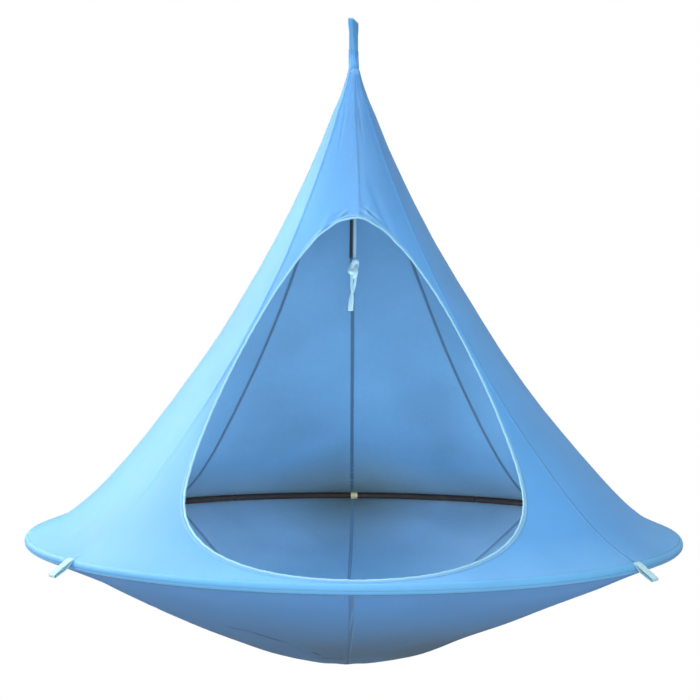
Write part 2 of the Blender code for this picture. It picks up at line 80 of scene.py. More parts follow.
LOOP_WIDTH = 0.025
LOOP_LENGTH = 0.060
LOOP_PLY = 0.0018
LOOP_SLOT = 0.005
LOOP_DROOP = radians(30)
LOOP_ANGLES = {
    "front_right": radians(45),
    "back_right": radians(135),
    "back_left": radians(225),
    "front_left": radians(315),
}
STRAP_WIDTH = 0.030
STRAP_PLY = 0.0025
EYE_RADIUS = 0.007
STRAP_RISE = 0.1545
CORD_RADIUS = 0.0045
TAIL_LENGTH = 0.095

SHEET_OFFSET = TUBE_RADIUS + CLEARANCE + FABRIC / 2
DOOR_BOTTOM = SHEET_OFFSET * cos(CANOPY_RIM_ANGLE) + DOOR_SILL
GORE_ANGLE = 2 * pi / GORES
NECK_Z = -STRAP_RISE
RING_Z = NECK_Z - NECK_HEIGHT
SIDES = (
    "front_right",
    "right_front",
    "right_back",
    "back_right",
    "back_left",
    "left_back",
    "left_front",
    "front_left",
)
SECTION_NAMES = ("front", "front_right", "back_right", "back", "back_left", "front_left")
TIE_NAMES = ("front", "front_right", "right", "back_right", "back", "back_left", "left", "front_left")

# Camera, from a fit of the ring, seams and outline to the photograph
CAMERA_DISTANCE = 2.91871
CAMERA_HEIGHT = 0.39759
CAMERA_PITCH = 0.0416524
CAMERA_ROLL = 0.0066038
FOCAL_PIXELS = 992.97
SHIFT_PIXELS = 5.0732
IMAGE_PIXELS = 700
SENSOR = 36.0


def add_camera():
    data = bpy.data.cameras.new("camera")
    data.sensor_width = SENSOR
    data.lens = SENSOR * FOCAL_PIXELS / IMAGE_PIXELS
    data.shift_x = -SHIFT_PIXELS / IMAGE_PIXELS
    camera = bpy.data.objects.new("camera", data)
    bpy.context.scene.collection.objects.link(camera)
    place = Matrix.Translation((0, -CAMERA_DISTANCE, RING_Z + CAMERA_HEIGHT))
    pitch = Matrix.Rotation(pi / 2 + CAMERA_PITCH, 4, "X")
    camera.matrix_world = place @ pitch @ Matrix.Rotation(CAMERA_ROLL, 4, "Z")
    bpy.context.scene.camera = camera


add_camera()


# Colours
CANOPY_COLOUR = (0.105, 0.43, 0.93)
# Painted light: the canopy goes paler towards its rim, where the cloth faces up
RIM_LIGHT_COLOUR = (0.17, 0.54, 1.0)
# Painted shade: the canopy goes darker towards the neck, and a broad shade lies on its front right gore
NECK_SHADE_COLOUR = (0.075, 0.33, 0.76)
SHADE_COLOUR = (0.13, 0.24, 0.36)
# Painted shade: the inner face of the cloth is a darker, greyer copy of the canopy's colour
INNER_SHADED_COLOUR = (0.165, 0.355, 0.545)
INNER_SHADE_COLOUR = (0.30, 0.42, 0.47)
# Painted shade on the inner side, round the back of the ring
INNER_CORNER_SHADE_COLOUR = (0.19, 0.26, 0.26)
# Painted light: the inner floor goes paler near the ring
INNER_FLOOR_LIGHT_COLOUR = (0.42, 0.65, 0.84)
INNER_SEAM_COLOUR = (0.085, 0.165, 0.25)
INNER_THREAD_COLOUR = (0.12, 0.25, 0.42)
FLOOR_COLOUR = (0.115, 0.365, 0.80)
# Painted shade: the bowl goes darker towards its bottom and at its rim, and along its seams and the band's
# lower edge
FLOOR_SHADE_COLOUR = (0.088, 0.152, 0.210)
FLOOR_THREAD_COLOUR = (0.10, 0.31, 0.68)
FLOOR_INNER_SEAM_COLOUR = (0.13, 0.27, 0.42)
# Painted light: the floor's inner seams go paler near the ring
FLOOR_INNER_RIM_LIGHT_COLOUR = (0.26, 0.42, 0.56)
PATCH_COLOUR = (0.11, 0.17, 0.23)
PIPING_COLOUR = (0.37, 0.74, 0.93)
HEM_COLOUR = (0.18, 0.53, 0.96)
BAND_COLOUR = (0.15, 0.54, 1.0)
STRAP_COLOUR = (0.135, 0.49, 0.97)
THREAD_COLOUR = (0.13, 0.46, 0.92)
# Painted shade along the edges of the seam strips
SEAM_EDGE_SHADE_COLOUR = (0.06, 0.22, 0.50)
# Painted highlight beside the bowl's seams
SEAM_HIGHLIGHT_COLOUR = (0.30, 0.56, 0.95)
# Painted shade and highlight of the canopy's creases
FOLD_SHADE_COLOUR = (0.05, 0.20, 0.46)
FOLD_HIGHLIGHT_COLOUR = (0.26, 0.62, 1.0)
# Painted shade in the bowl's creases
BOWL_CREASE_SHADE_COLOUR = (0.045, 0.080, 0.115)
LOOP_COLOUR = (0.52, 0.88, 1.0)
TAPE_COLOUR = (1.0, 0.86, 0.43)
TAPE_THREAD_COLOUR = (0.75, 0.7, 0.6)
CORD_COLOUR = (0.66, 0.96, 1.0)
DARK_CORD_COLOUR = (0.045, 0.045, 0.05)
ENAMEL = (0.050, 0.031, 0.022)
RUBBED = (0.150, 0.085, 0.055)
DARK_STEEL = (0.42, 0.42, 0.43)
LIGHT_STEEL = (0.58, 0.58, 0.60)

# Stitches: half their width, the share of each step that they fill, and the steps of cloth and webbing
STITCH_HALF_WIDTH = 0.0007
STITCH_SHARE = 0.72
CLOTH_STITCH = 0.0042
WEBBING_STITCH = 0.0034

# Threads: steps of the weaves, the ribs and the braid
CLOTH_PITCH = 0.0016
TAPED_PITCH = 0.0014
STRAP_PITCH = 0.0022
RIB_PITCH = 0.0021
WEFT_PITCH = 0.0017
BRAID_PITCH = 0.006
BRAID_STRANDS = 3

# Surface of cloth: specular level, least and greatest roughness
SATIN = (0.75, 0.50, 0.62)
MATT = (0.15, 0.74, 0.90)
SHEEN_TINT = (0.92, 0.97, 1.0, 1.0)


# Node helpers


class Nodes:
    """Short calls for the nodes of a material or a world."""

    def __init__(self, owner):
        owner.use_nodes = True
        self.tree = owner.node_tree

    def node(self, kind, inputs=None, **settings):
        made = self.tree.nodes.new("ShaderNode" + kind)
        for key, value in settings.items():
            setattr(made, key, value)
        for key, value in (inputs or {}).items():
            self.feed(made.inputs[key], value)
        return made

    def feed(self, socket, value):
        if isinstance(value, bpy.types.NodeSocket):
            self.tree.links.new(value, socket)
        else:
            socket.default_value = value

    def camera_choice(self, other, seen):
        """What light rays meet, and what the camera sees instead."""
        shown = self.node("LightPath").outputs["Is Camera Ray"]
        return self.node("MixShader", {0: shown, 1: other.outputs[0], 2: seen.outputs[0]}).outputs[0]


class Shader(Nodes):
    """A Principled material with short calls for its patterns."""

    def __init__(self, name, **fixed):
        self.material = bpy.data.materials.new(name)
        super().__init__(self.material)
        self.main = self.tree.nodes["Principled BSDF"]
        for socket, value in fixed.items():
            self.main.inputs[socket.replace("_", " ")].default_value = value

    def math(self, operation, a, b=None):
        made = self.node("Math", operation=operation)
        self.feed(made.inputs[0], a)
        if b is not None:
            self.feed(made.inputs[1], b)
        return made.outputs[0]

    def times(self, a, b):
        return self.math("MULTIPLY", a, b)

    def wave(self, value, length):
        """A sine of the value, that repeats after this length."""
        return self.math("SINE", self.times(value, 2 * pi / length))

    def off(self, value, place):
        """How far the value is from a place, to either side."""
        return self.math("ABSOLUTE", self.math("SUBTRACT", value, place))

    def uv(self):
        parts = self.node("SeparateXYZ", {"Vector": self.node("TexCoord").outputs["UV"]})
        return parts.outputs["X"], parts.outputs["Y"]

    def place(self):
        return self.node("TexCoord").outputs["Object"]

    def vector(self, operation, a, b, output="Vector"):
        return self.node("VectorMath", {0: a, 1: b}, operation=operation).outputs[output]

    def noise(self, scale, detail=3.0, roughness=0.5, stretch=None):
        vector = self.place()
        if stretch:
            vector = self.node("Mapping", {"Vector": vector, "Scale": stretch}).outputs[0]
        inputs = {"Vector": vector, "Scale": scale, "Detail": detail, "Roughness": roughness}
        return self.node("TexNoise", inputs).outputs["Fac"]

    def ramp(self, value, low, high, start=0.0, end=1.0):
        inputs = {"Value": value, "From Min": low, "From Max": high, "To Min": start, "To Max": end}
        return self.node("MapRange", inputs).outputs["Result"]

    def mix(self, share, a, b):
        made = self.node("Mix", data_type="RGBA")
        self.feed(made.inputs[0], share)
        self.feed(made.inputs[6], (*a, 1.0) if isinstance(a, tuple) else a)
        self.feed(made.inputs[7], (*b, 1.0) if isinstance(b, tuple) else b)
        return made.outputs[2]

    def scaled(self, colour, value):
        """The colour or vector times the value."""
        return self.node("VectorMath", {0: colour, "Scale": value}, operation="SCALE").outputs[0]

    def bump(self, height, distance, strength=1.0, normal=None):
        made = self.node("Bump", {"Height": height, "Distance": distance, "Strength": strength})
        if normal is not None:
            self.feed(made.inputs["Normal"], normal)
        return made.outputs["Normal"]

    def sewn(self, rows, pitch, thread, painted, normal, rise):
        """The paint and normal with stitches of a thread on them, in rows at these places across."""
        across, along = self.uv()
        lines = [self.math("LESS_THAN", self.off(across, row), STITCH_HALF_WIDTH) for row in rows]
        line = lines[0]
        for other in lines[1:]:
            line = self.math("MAXIMUM", line, other)
        step = self.math("FRACT", self.math("DIVIDE", along, pitch))
        mask = self.times(line, self.math("LESS_THAN", step, STITCH_SHARE))
        return self.mix(mask, painted, thread), self.bump(mask, rise, 0.8, normal)

    def finish(self, colour, roughness, normal):
        self.feed(self.main.inputs["Base Color"], colour)
        self.feed(self.main.inputs["Roughness"], roughness)
        self.feed(self.main.inputs["Normal"], normal)
        return self.material


def cloth(name, colour, surface=SATIN, sheen=0.16, mottle=0.08, pitch=CLOTH_PITCH, rows=(), thread=None,
          light_and_shade_fades=(), patchy=0.4, shade_cloud=None, lines=(), crease_shading=()):
    """Woven cloth: threads, slight stains of light and dark, fine slack, and rows of stitches.
    Each fade is (start, end, tone, share): along the profile the colour goes over to the tone.
    Each line is (place across, half width, tone, share), and a shade cloud is (middle, radius, tone, share).
    Each painted crease is (start, end, half width, tone, share), with ends as (x, z).
    The fades, lines, shade cloud and painted creases are painted light and shade in the colour."""
    specular, smoothest, roughest = surface
    looks = {"Sheen_Weight": sheen, "Sheen_Roughness": 0.45, "Sheen_Tint": SHEEN_TINT}
    shader = Shader(name, **looks, Specular_IOR_Level=specular)
    across, along = shader.uv()
    weave = shader.times(shader.wave(across, pitch), shader.wave(along, pitch))
    broad = shader.noise(2.6, 2.0)
    fine = shader.noise(46.0, 4.0, 0.6)
    light = shader.ramp(broad, 0.3, 0.7, 1 - mottle, 1 + mottle)
    light = shader.times(light, shader.ramp(fine, 0.25, 0.75, 0.97, 1.03))
    light = shader.times(light, shader.ramp(weave, -1, 1, 0.96, 1.04))
    base = (*colour,)
    # Painted light and shade: fades along the profile in patches, a cloud round a place, lines across and
    # creases
    for start, end, tone, share in light_and_shade_fades:
        patches = shader.ramp(broad, 0.35, 0.6, 1 - patchy, 1)
        base = shader.mix(shader.times(shader.ramp(along, start, end, 0, share), patches), base, tone)
    if shade_cloud:
        middle, radius, tone, share = shade_cloud
        away = shader.vector("DISTANCE", shader.place(), middle, "Value")
        base = shader.mix(shader.ramp(away, radius, 0.0, 0, share), base, tone)
    for place, half, tone, share in lines:
        base = shader.mix(shader.ramp(shader.off(across, place), half, 0.0, 0, share), base, tone)
    for start, end, half, tone, share in crease_shading:
        base = shader.mix(shader.times(wrinkle_mask(shader, start, end, half), share), base, tone)
    painted = shader.scaled(base, light)
    normal = shader.bump(shader.noise(17.0, 3.0), 0.0016, 0.35)
    normal = shader.bump(fine, 0.0005, 0.3, normal)
    normal = shader.bump(weave, 0.00012, 0.5, normal)
    if rows:
        painted, normal = shader.sewn(rows, CLOTH_STITCH, thread, painted, normal, 0.0005)
    return shader.finish(painted, shader.ramp(fine, 0.2, 0.8, smoothest, roughest), normal)


def wrinkle_mask(shader, start, end, half):
    """1 between two places (x, z) of the front, and 0 a half width beside that way and past its ends."""
    way = Vector((end[0] - start[0], 0, end[1] - start[1]))
    seen = shader.vector("MULTIPLY", shader.place(), (1, 0, 1))
    past = shader.vector("SUBTRACT", seen, (start[0], 0, start[1]))
    share = shader.vector("DOT_PRODUCT", past, tuple(way / way.length_squared), "Value")
    off = shader.vector("DISTANCE", past, shader.scaled(tuple(way), share), "Value")
    ends = shader.times(shader.ramp(share, 0.0, 0.3), shader.ramp(share, 1.0, 0.6))
    front = shader.node("SeparateXYZ", {"Vector": shader.place()}).outputs["Y"]
    ends = shader.times(ends, shader.ramp(front, 0.0, -0.05))
    return shader.times(shader.ramp(off, half, half * 0.3), ends)


def webbing(name, colour, rows, thread=(0.7, 0.85, 0.95), sheen=0.15):
    """Narrow woven webbing: ribs along it, weft across it, worn places and rows of stitches."""
    shader = Shader(name, Sheen_Weight=sheen, Sheen_Roughness=0.5, Specular_IOR_Level=0.2)
    across, along = shader.uv()
    weft = shader.math("ADD", shader.times(shader.wave(along, WEFT_PITCH), 0.5), 0.5)
    weave = shader.times(shader.wave(across, RIB_PITCH), weft)
    wear = shader.noise(60.0, 4.0, 0.65)
    broad = shader.noise(14.0, 2.0)
    light = shader.times(shader.ramp(broad, 0.3, 0.7, 0.9, 1.1), shader.ramp(weave, -1, 1, 0.86, 1.08))
    light = shader.times(light, shader.ramp(wear, 0.3, 0.75, 0.95, 1.06))
    painted = shader.scaled((*colour,), light)
    normal = shader.bump(weave, 0.00012, 0.8)
    painted, normal = shader.sewn(rows, WEBBING_STITCH, thread, painted, normal, 0.0006)
    return shader.finish(painted, shader.ramp(wear, 0.2, 0.8, 0.7, 0.88), normal)


def braid(name, colour):
    """Braided cord: strands that cross in two spirals."""
    shader = Shader(name, Sheen_Weight=0.3, Sheen_Roughness=0.5, Specular_IOR_Level=0.3)
    across, along = shader.uv()
    turn = shader.times(across, BRAID_STRANDS / CORD_RADIUS)
    rise = shader.times(along, 2 * pi / BRAID_PITCH)
    one = shader.math("SINE", shader.math("ADD", rise, turn))
    two = shader.math("SINE", shader.math("SUBTRACT", rise, turn))
    lay = shader.math("MAXIMUM", one, two)
    fuzz = shader.noise(300.0, 3.0, 0.6)
    light = shader.times(shader.ramp(lay, -1, 1, 0.80, 1.05), shader.ramp(fuzz, 0.3, 0.7, 0.94, 1.06))
    normal = shader.bump(fuzz, 0.0003, 0.5, shader.bump(lay, 0.0006, 0.9))
    return shader.finish(shader.scaled((*colour,), light), 0.82, normal)


def ring_paint():
    """Dark enamel on the tube, rubbed brown in places."""
    shader = Shader("ring_paint", Specular_IOR_Level=0.5, Coat_Weight=0.15, Coat_Roughness=0.3)
    scuff = shader.noise(38.0, 5.0, 0.7, stretch=(1.0, 1.0, 3.0))
    worn = shader.times(shader.ramp(scuff, 0.52, 0.72), shader.ramp(shader.noise(5.0, 2.0), 0.35, 0.65))
    painted = shader.mix(worn, ENAMEL, RUBBED)
    return shader.finish(painted, shader.ramp(scuff, 0.3, 0.7, 0.34, 0.55), shader.bump(scuff, 0.0002, 0.4))


def spigot_steel():
    """Drawn steel with lines along it."""
    shader = Shader("spigot_steel", Metallic=1.0)
    lines = shader.noise(120.0, 3.0, 0.6, stretch=(1.0, 1.0, 6.0))
    painted = shader.mix(shader.ramp(lines, 0.3, 0.7), DARK_STEEL, LIGHT_STEEL)
    return shader.finish(painted, shader.ramp(lines, 0.3, 0.7, 0.28, 0.45), shader.bump(lines, 0.0001, 0.4))


# Sizes of the cloth's details
CLOTH = 0.0012
SEAM_WIDTH = 0.012
SEAM_PLY = 0.0003
SEAM_ROWS = (-0.0033, 0.0033)
HEM_WIDTH = 0.0110
HEM_ROWS = (0.0085,)
BAND_ROWS = (0.003,)
STRAP_ROWS = (-0.012, 0.012)
WEBBING_ROWS = (-0.009, 0.009)
BEAD_RADIUS = 0.0023
BAND_CREASE = radians(-14)
BAND_FOLD = SHEET_OFFSET * (BAND_CREASE + pi / 2 - FLOOR_RIM_ANGLE)

# Painted light and shade, where the colours of the cloth go over to others: the canopy paler at its rim and
# darker near its neck and at its very edge, its inner side darker near the ring and round the ring's back,
# the inner floor and its seams paler near the ring, and the bowl darker towards its bottom and at its rim
CANOPY_LIGHT_AND_SHADE = ((0.12, 0.0, RIM_LIGHT_COLOUR, 0.8), (1.20, 1.50, NECK_SHADE_COLOUR, 0.6))
CANOPY_EDGE = (0.004, 0.0, SHADE_COLOUR, 0.15)
INNER_FADE = (0.22, 0.0, INNER_SHADE_COLOUR, 0.85)
INNER_SHADE_CLOUD = ((0.0, RING_RADIUS, RING_Z), 0.34, INNER_CORNER_SHADE_COLOUR, 0.95)
INNER_FLOOR_LIGHT_FADE = (0.45, 0.0, INNER_FLOOR_LIGHT_COLOUR, 1.0)
FLOOR_SEAM_LIGHT_FADE = (0.45, 0.0, FLOOR_INNER_RIM_LIGHT_COLOUR, 1.0)
FLOOR_SHADE_FADES = ((0.08, 0.60, FLOOR_SHADE_COLOUR, 1.0), (0.010, 0.0, FLOOR_SHADE_COLOUR, 0.6))

# Painted shade and highlights: lines across seams and the band, and the shade and highlights of the creases
# of the canopy and the bowl, with a broad shade on the canopy's front right gore
# Painted shade along both edges of the canopy's outer seam strips
SEAM_LINES = ((-0.0052, 0.0011, SEAM_EDGE_SHADE_COLOUR, 0.35), (0.0052, 0.0011, SEAM_EDGE_SHADE_COLOUR, 0.55))
# Painted shade and highlights on the bowl's outer seams: a dark strip down the middle and light lines at
# both edges
FLOOR_SEAM_SHADE_AND_HIGHLIGHT = (
    (0.0010, 0.0060, FLOOR_SHADE_COLOUR, 0.6),
    (0.0055, 0.0014, SEAM_HIGHLIGHT_COLOUR, 0.5),
    (-0.0055, 0.0014, SEAM_HIGHLIGHT_COLOUR, 0.4),
)
# Painted shade on the band: a dark line at its crease, and a darker line and broad darker strip along its
# lower edge
BAND_SHADE_LINES = (
    (BAND_FOLD, 0.0016, FLOOR_SHADE_COLOUR, 0.5),
    (0.0, 0.0030, FLOOR_SHADE_COLOUR, 0.9),
    (0.0, 0.010, FLOOR_SHADE_COLOUR, 0.3),
)
# Painted shade and highlights of the creases above the door, and a broad shade on the front right gore
CANOPY_CREASE_SHADING = (
    ((-0.052, -0.642), (-0.014, -0.611), 0.0045, FOLD_SHADE_COLOUR, 0.7),
    ((-0.060, -0.638), (-0.018, -0.603), 0.0040, FOLD_HIGHLIGHT_COLOUR, 0.6),
    ((0.014, -0.598), (0.074, -0.652), 0.0034, FOLD_SHADE_COLOUR, 0.8),
    ((0.022, -0.597), (0.082, -0.650), 0.0040, FOLD_HIGHLIGHT_COLOUR, 0.6),
    ((0.012, -0.608), (0.052, -0.640), 0.0045, FOLD_HIGHLIGHT_COLOUR, 0.7),
    ((0.0, -0.05), (0.20, -0.95), 0.085, NECK_SHADE_COLOUR, 0.6),
)
# Painted shade in the creases of the bowl's lower left
BOWL_CREASE_SHADING = (
    ((-0.320, -1.681), (-0.230, -1.700), 0.0050, BOWL_CREASE_SHADE_COLOUR, 0.45),
    ((-0.262, -1.692), (-0.150, -1.740), 0.0050, BOWL_CREASE_SHADE_COLOUR, 0.7),
    ((-0.106, -1.767), (-0.078, -1.787), 0.0050, BOWL_CREASE_SHADE_COLOUR, 0.9),
    ((-0.095, -1.800), (0.010, -1.792), 0.0040, BOWL_CREASE_SHADE_COLOUR, 0.6),
)

# The inner side of the cloth: matt, with a painted shade round the back of the ring
SHADED_INNER_SIDE = {"surface": MATT, "sheen": 0.1, "mottle": 0.12, "patchy": 0.1, "shade_cloud": INNER_SHADE_CLOUD}
BOWL_CLOTH = {"surface": MATT, "sheen": 0.1}
INNER_SEAM = {"surface": MATT, "pitch": TAPED_PITCH, "rows": SEAM_ROWS, "thread": INNER_THREAD_COLOUR}
SEWN = {"pitch": TAPED_PITCH, "thread": THREAD_COLOUR}

MATERIALS = {
    "canopy": cloth(
        "canopy_cloth", CANOPY_COLOUR, light_and_shade_fades=(*CANOPY_LIGHT_AND_SHADE, CANOPY_EDGE), crease_shading=CANOPY_CREASE_SHADING
    ),
    "inner": cloth("canopy_inner_side_shaded", INNER_SHADED_COLOUR, light_and_shade_fades=(INNER_FADE,), **SHADED_INNER_SIDE),
    "inner_floor": cloth("floor_inner_side_shaded", INNER_SHADED_COLOUR, light_and_shade_fades=(INNER_FLOOR_LIGHT_FADE,), **SHADED_INNER_SIDE),
    "seam": cloth("seam_cloth", CANOPY_COLOUR, rows=SEAM_ROWS, light_and_shade_fades=CANOPY_LIGHT_AND_SHADE, lines=SEAM_LINES, **SEWN),
    "inner_seam": cloth("inner_seam_cloth", INNER_SEAM_COLOUR, **INNER_SEAM),
    "floor_inner_seam": cloth(
        "floor_inner_seam_cloth", FLOOR_INNER_SEAM_COLOUR, light_and_shade_fades=(FLOOR_SEAM_LIGHT_FADE,), **INNER_SEAM
    ),
    "floor": cloth("floor_cloth", FLOOR_COLOUR, light_and_shade_fades=FLOOR_SHADE_FADES, crease_shading=BOWL_CREASE_SHADING, **BOWL_CLOTH),
    "floor_seam": cloth(
        "floor_seam_cloth",
        FLOOR_COLOUR,
        rows=SEAM_ROWS[:1],
        thread=FLOOR_THREAD_COLOUR,
        light_and_shade_fades=FLOOR_SHADE_FADES,
        lines=FLOOR_SEAM_SHADE_AND_HIGHLIGHT,
        **BOWL_CLOTH,
    ),
    "patch": cloth("patch_cloth", PATCH_COLOUR, **BOWL_CLOTH),
    "band": cloth("band_cloth", BAND_COLOUR, rows=BAND_ROWS, lines=BAND_SHADE_LINES, **SEWN),
    "hem": cloth("hem_cloth", HEM_COLOUR, rows=HEM_ROWS, **SEWN),
    "piping": cloth("piping_cloth", PIPING_COLOUR, mottle=0.05),
    "strap": cloth("strap_cloth", STRAP_COLOUR, rows=STRAP_ROWS, thread=THREAD_COLOUR, pitch=STRAP_PITCH),
    "loop": webbing("loop_webbing", LOOP_COLOUR, WEBBING_ROWS, sheen=0.6),
    "cord": braid("tie_cord", CORD_COLOUR),
    "dark_cord": braid("dark_tie_cord", DARK_CORD_COLOUR),
    "tape": webbing("ring_tape", TAPE_COLOUR, WEBBING_ROWS, thread=TAPE_THREAD_COLOUR),
    "ring": ring_paint(),
    "steel": spigot_steel(),
}


# Mesh helpers


def add_piece(name, points, faces, uvs, materials, body, indices=None):
    """A mesh object from points, faces and one texture place for each face corner."""
    mesh = bpy.data.meshes.new(name)
    mesh.from_pydata(np.asarray(points, float).tolist(), [], [list(map(int, face)) for face in faces])
    layer = mesh.uv_layers.new(name="UVMap")
    layer.data.foreach_set("uv", np.asarray(uvs, np.float32).ravel())
    for material in materials:
        mesh.materials.append(MATERIALS[material])
    if indices is not None:
        mesh.polygons.foreach_set("material_index", np.asarray(indices, np.int32))
    mesh.shade_smooth()
    mesh.update()
    piece = bpy.data.objects.new(name, mesh)
    bpy.context.scene.collection.objects.link(piece)
    if body:
        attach(piece, body)
    return piece


def thicken(piece, inner_material=False):
    """The cloth's thickness, half to each side of its middle surface."""
    shell = piece.modifiers.new("thickness", "SOLIDIFY")
    shell.thickness = CLOTH
    shell.offset = 0
    if inner_material:
        shell.material_offset = 1
        shell.material_offset_rim = 0


def smooth(low, high, value):
    share = np.clip((value - low) / (high - low), 0, 1)
    return share * share * (3 - 2 * share)


def bell(value, middle, half):
    """1 in the middle, and next to nothing two half widths away."""
    return np.exp(-(((value - middle) / half) ** 2))


def ripple(values, wavelength, seed):
    """Smooth noise between about -1 and 1 over any number of coordinates."""
    random = np.random.default_rng(seed)
    total = 0
    for _ in range(6):
        direction = unit(random.normal(size=len(values)))
        phase = random.uniform(0, 2 * pi)
        step = wavelength * random.uniform(0.7, 1.6)
        total = total + np.sin(2 * pi * sum(d * v for d, v in zip(direction, values)) / step + phase)
    return total / 3.2


def unit(vectors):
    return vectors / np.maximum(np.linalg.norm(vectors, axis=-1, keepdims=True), 1e-12)


def round_axis(radius, angle, z):
    """Points at a radius, an angle round the tent and a height in the frame."""
    return np.stack([radius * np.sin(angle), -radius * np.cos(angle), z + 0 * angle], axis=-1)


def lengths_along(points):
    steps = np.linalg.norm(np.diff(points, axis=0), axis=1)
    return np.concatenate([[0.0], np.cumsum(steps)])


def columns_at(wanted, at, table):
    """Each column of the table, read at the wanted places."""
    return np.stack([np.interp(wanted, at, column) for column in table.T], axis=1)


def smooth_line(points, count):
    """A smooth curve through the points, with count points at equal distances."""
    points = np.asarray(points, float)
    padded = np.vstack([2 * points[0] - points[1], points, 2 * points[-1] - points[-2]])
    fine = []
    for a, b, c, d in zip(padded, padded[1:], padded[2:], padded[3:]):
        for t in np.arange(20) / 20:
            bend = (2 * a - 5 * b + 4 * c - d) * t**2 + (3 * b - a - 3 * c + d) * t**3
            fine.append(0.5 * (2 * b + (c - a) * t + bend))
    fine = np.array([*fine, points[-1]])
    at = lengths_along(fine)
    return columns_at(np.linspace(0, at[-1], count), at, fine)


def rounded_box(width, thickness, corner, steps=3):
    """The outline of a flat bar's section, from its right side round to the left, with round corners."""
    made = []
    for x, y, start in ((1, 1, 0.0), (-1, 1, pi / 2), (-1, -1, pi), (1, -1, 3 * pi / 2)):
        for turn in start + pi / 2 * np.arange(steps + 1) / steps:
            across = x * (width / 2 - corner) + corner * cos(turn)
            made.append((across, y * (thickness / 2 - corner) + corner * sin(turn)))
    return np.array(made)


def circle(radius, sides):
    turns = 2 * pi * np.arange(sides) / sides
    return np.stack([radius * np.cos(turns), radius * np.sin(turns)], axis=1)


def grid_faces(rows, columns, first=0, flip=False):
    i, j = np.meshgrid(np.arange(rows - 1), np.arange(columns - 1), indexing="ij")
    corner = first + i * columns + j
    quads = np.stack([corner, corner + 1, corner + columns + 1, corner + columns], axis=-1).reshape(-1, 4)
    return quads[:, ::-1] if flip else quads


def round_grid(rows, columns, flip=False):
    """Faces of a grid that closes on itself, with the row and the unwrapped column of each corner."""
    row, column = np.divmod(grid_faces(rows, columns + 1, flip=flip), columns + 1)
    return row * columns + column % columns, row, column


def sweep(path, across, up, sections, closed_path=False):
    """A bar along a path. Each section point goes its first number across and its second number up.
    Up can be left as None where it is square to the path and to across.
    Texture places are metres round the section, measured from its middle, and metres along the path."""
    across = np.broadcast_to(across, path.shape)
    if up is None:
        up = unit(np.cross(unit(np.gradient(path, axis=0)), across))
    if sections.ndim == 2:
        sections = np.broadcast_to(sections, (len(path), *sections.shape))
    count, sides = sections.shape[:2]
    points = path[:, None] + across[:, None] * sections[..., :1] + up[:, None] * sections[..., 1:]
    along = lengths_along(np.vstack([path, path[:1]]) if closed_path else path)
    flat = sections[0][:, 0]
    around = lengths_along(np.vstack([sections[0], sections[0][:1]]))
    use_flat = np.ptp(flat) > 3 * np.ptp(sections[0][:, 1])
    faces = []
    uvs = []
    for i in range(count if closed_path else count - 1):
        n = (i + 1) % count
        for j in range(sides):
            k = (j + 1) % sides
            faces.append((i * sides + j, i * sides + k, n * sides + k, n * sides + j))
            a, b = (flat[j], flat[k]) if use_flat else (around[j], around[j + 1])
            uvs += [(a, along[i]), (b, along[i]), (b, along[i + 1]), (a, along[i + 1])]
    if not closed_path:
        last = (count - 1) * sides
        faces.append(tuple(range(sides - 1, -1, -1)))
        faces.append(tuple(last + j for j in range(sides)))
        uvs += [(flat[j], along[0] + sections[0][j, 1]) for j in range(sides - 1, -1, -1)]
        uvs += [(flat[j], along[-1] + sections[0][j, 1]) for j in range(sides)]
    return points.reshape(-1, 3), faces, uvs


# Tie inside: two strands to a knot, and two twisted tails. All of it is a little left of the middle.

TIE_TOP = NECK_Z - 0.0176
TIE_TOP_LEAN = -0.007
TIE_LEAN = -0.006
STRAND_LOW = NECK_Z - 0.5637
STRAND_SPREAD = 0.0055
STRAND_LOW_ENDS = {"left": -0.0142, "right": -0.0030}
CORD_SIDES = 14
STRAND_POINTS = 60
TAIL_POINTS = 48
TAIL_TOP = NECK_Z - 0.6150
TAIL_END = NECK_Z - 0.6243 - TAIL_LENGTH
TAIL_WIDE = 0.0043
TAIL_REACH = 0.0056
TAIL_DRIFT = 0.008
TAIL_NARROWING = 0.4
KNOT_MIDDLE = NECK_Z - 0.594
KNOT_CORD = 0.0075
KNOT_REACH = (0.011, 0.007, 0.026)
KNOT_SLOPE = 0.12
KNOT_POINTS = 120


def add_cord(name, route, count, radius, material="cord"):
    path = smooth_line(route, count)
    ahead = unit(np.gradient(path, axis=0))
    across = unit(np.array([1.0, 0.0, 0.0]) - ahead * ahead[:, :1])
    points, faces, uvs = sweep(path, across, np.cross(ahead, across), circle(radius, CORD_SIDES))
    piece = add_piece(name + "_cord", points, faces, uvs, (material,), "inner_tie")
    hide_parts(name)


def add_strands_and_tails():
    for side, sign in (("left", -1), ("right", 1)):
        top = sign * STRAND_SPREAD + TIE_TOP_LEAN
        low = STRAND_LOW_ENDS[side]
        drop = STRAND_LOW - TIE_TOP
        route = [
            (top, 0, TIE_TOP),
            (0.85 * top + 0.15 * low, 0, TIE_TOP + 0.25 * drop),
            (0.5 * top + 0.5 * low, 0, TIE_TOP + 0.5 * drop),
            (0.15 * top + 0.85 * low, 0, TIE_TOP + 0.75 * drop),
            (low, 0, STRAND_LOW),
        ]
        material = "dark_cord" if side == "left" else "cord"
        add_cord("tie_strand_" + side, route, STRAND_POINTS, CORD_RADIUS, material)
        share = np.linspace(0, 1, TAIL_POINTS // 2 + 1)
        turn = pi * smooth(0, 1, share)
        reach = sign * TAIL_REACH * (1 - TAIL_NARROWING * share)
        x = TIE_LEAN - TAIL_DRIFT * smooth(0, 1, share) + reach * np.cos(turn)
        tail = np.stack([x, reach * np.sin(turn), TAIL_TOP - (TAIL_TOP - TAIL_END) * share], axis=1)
        add_cord("tie_tail_" + side, tail, TAIL_POINTS, TAIL_WIDE)


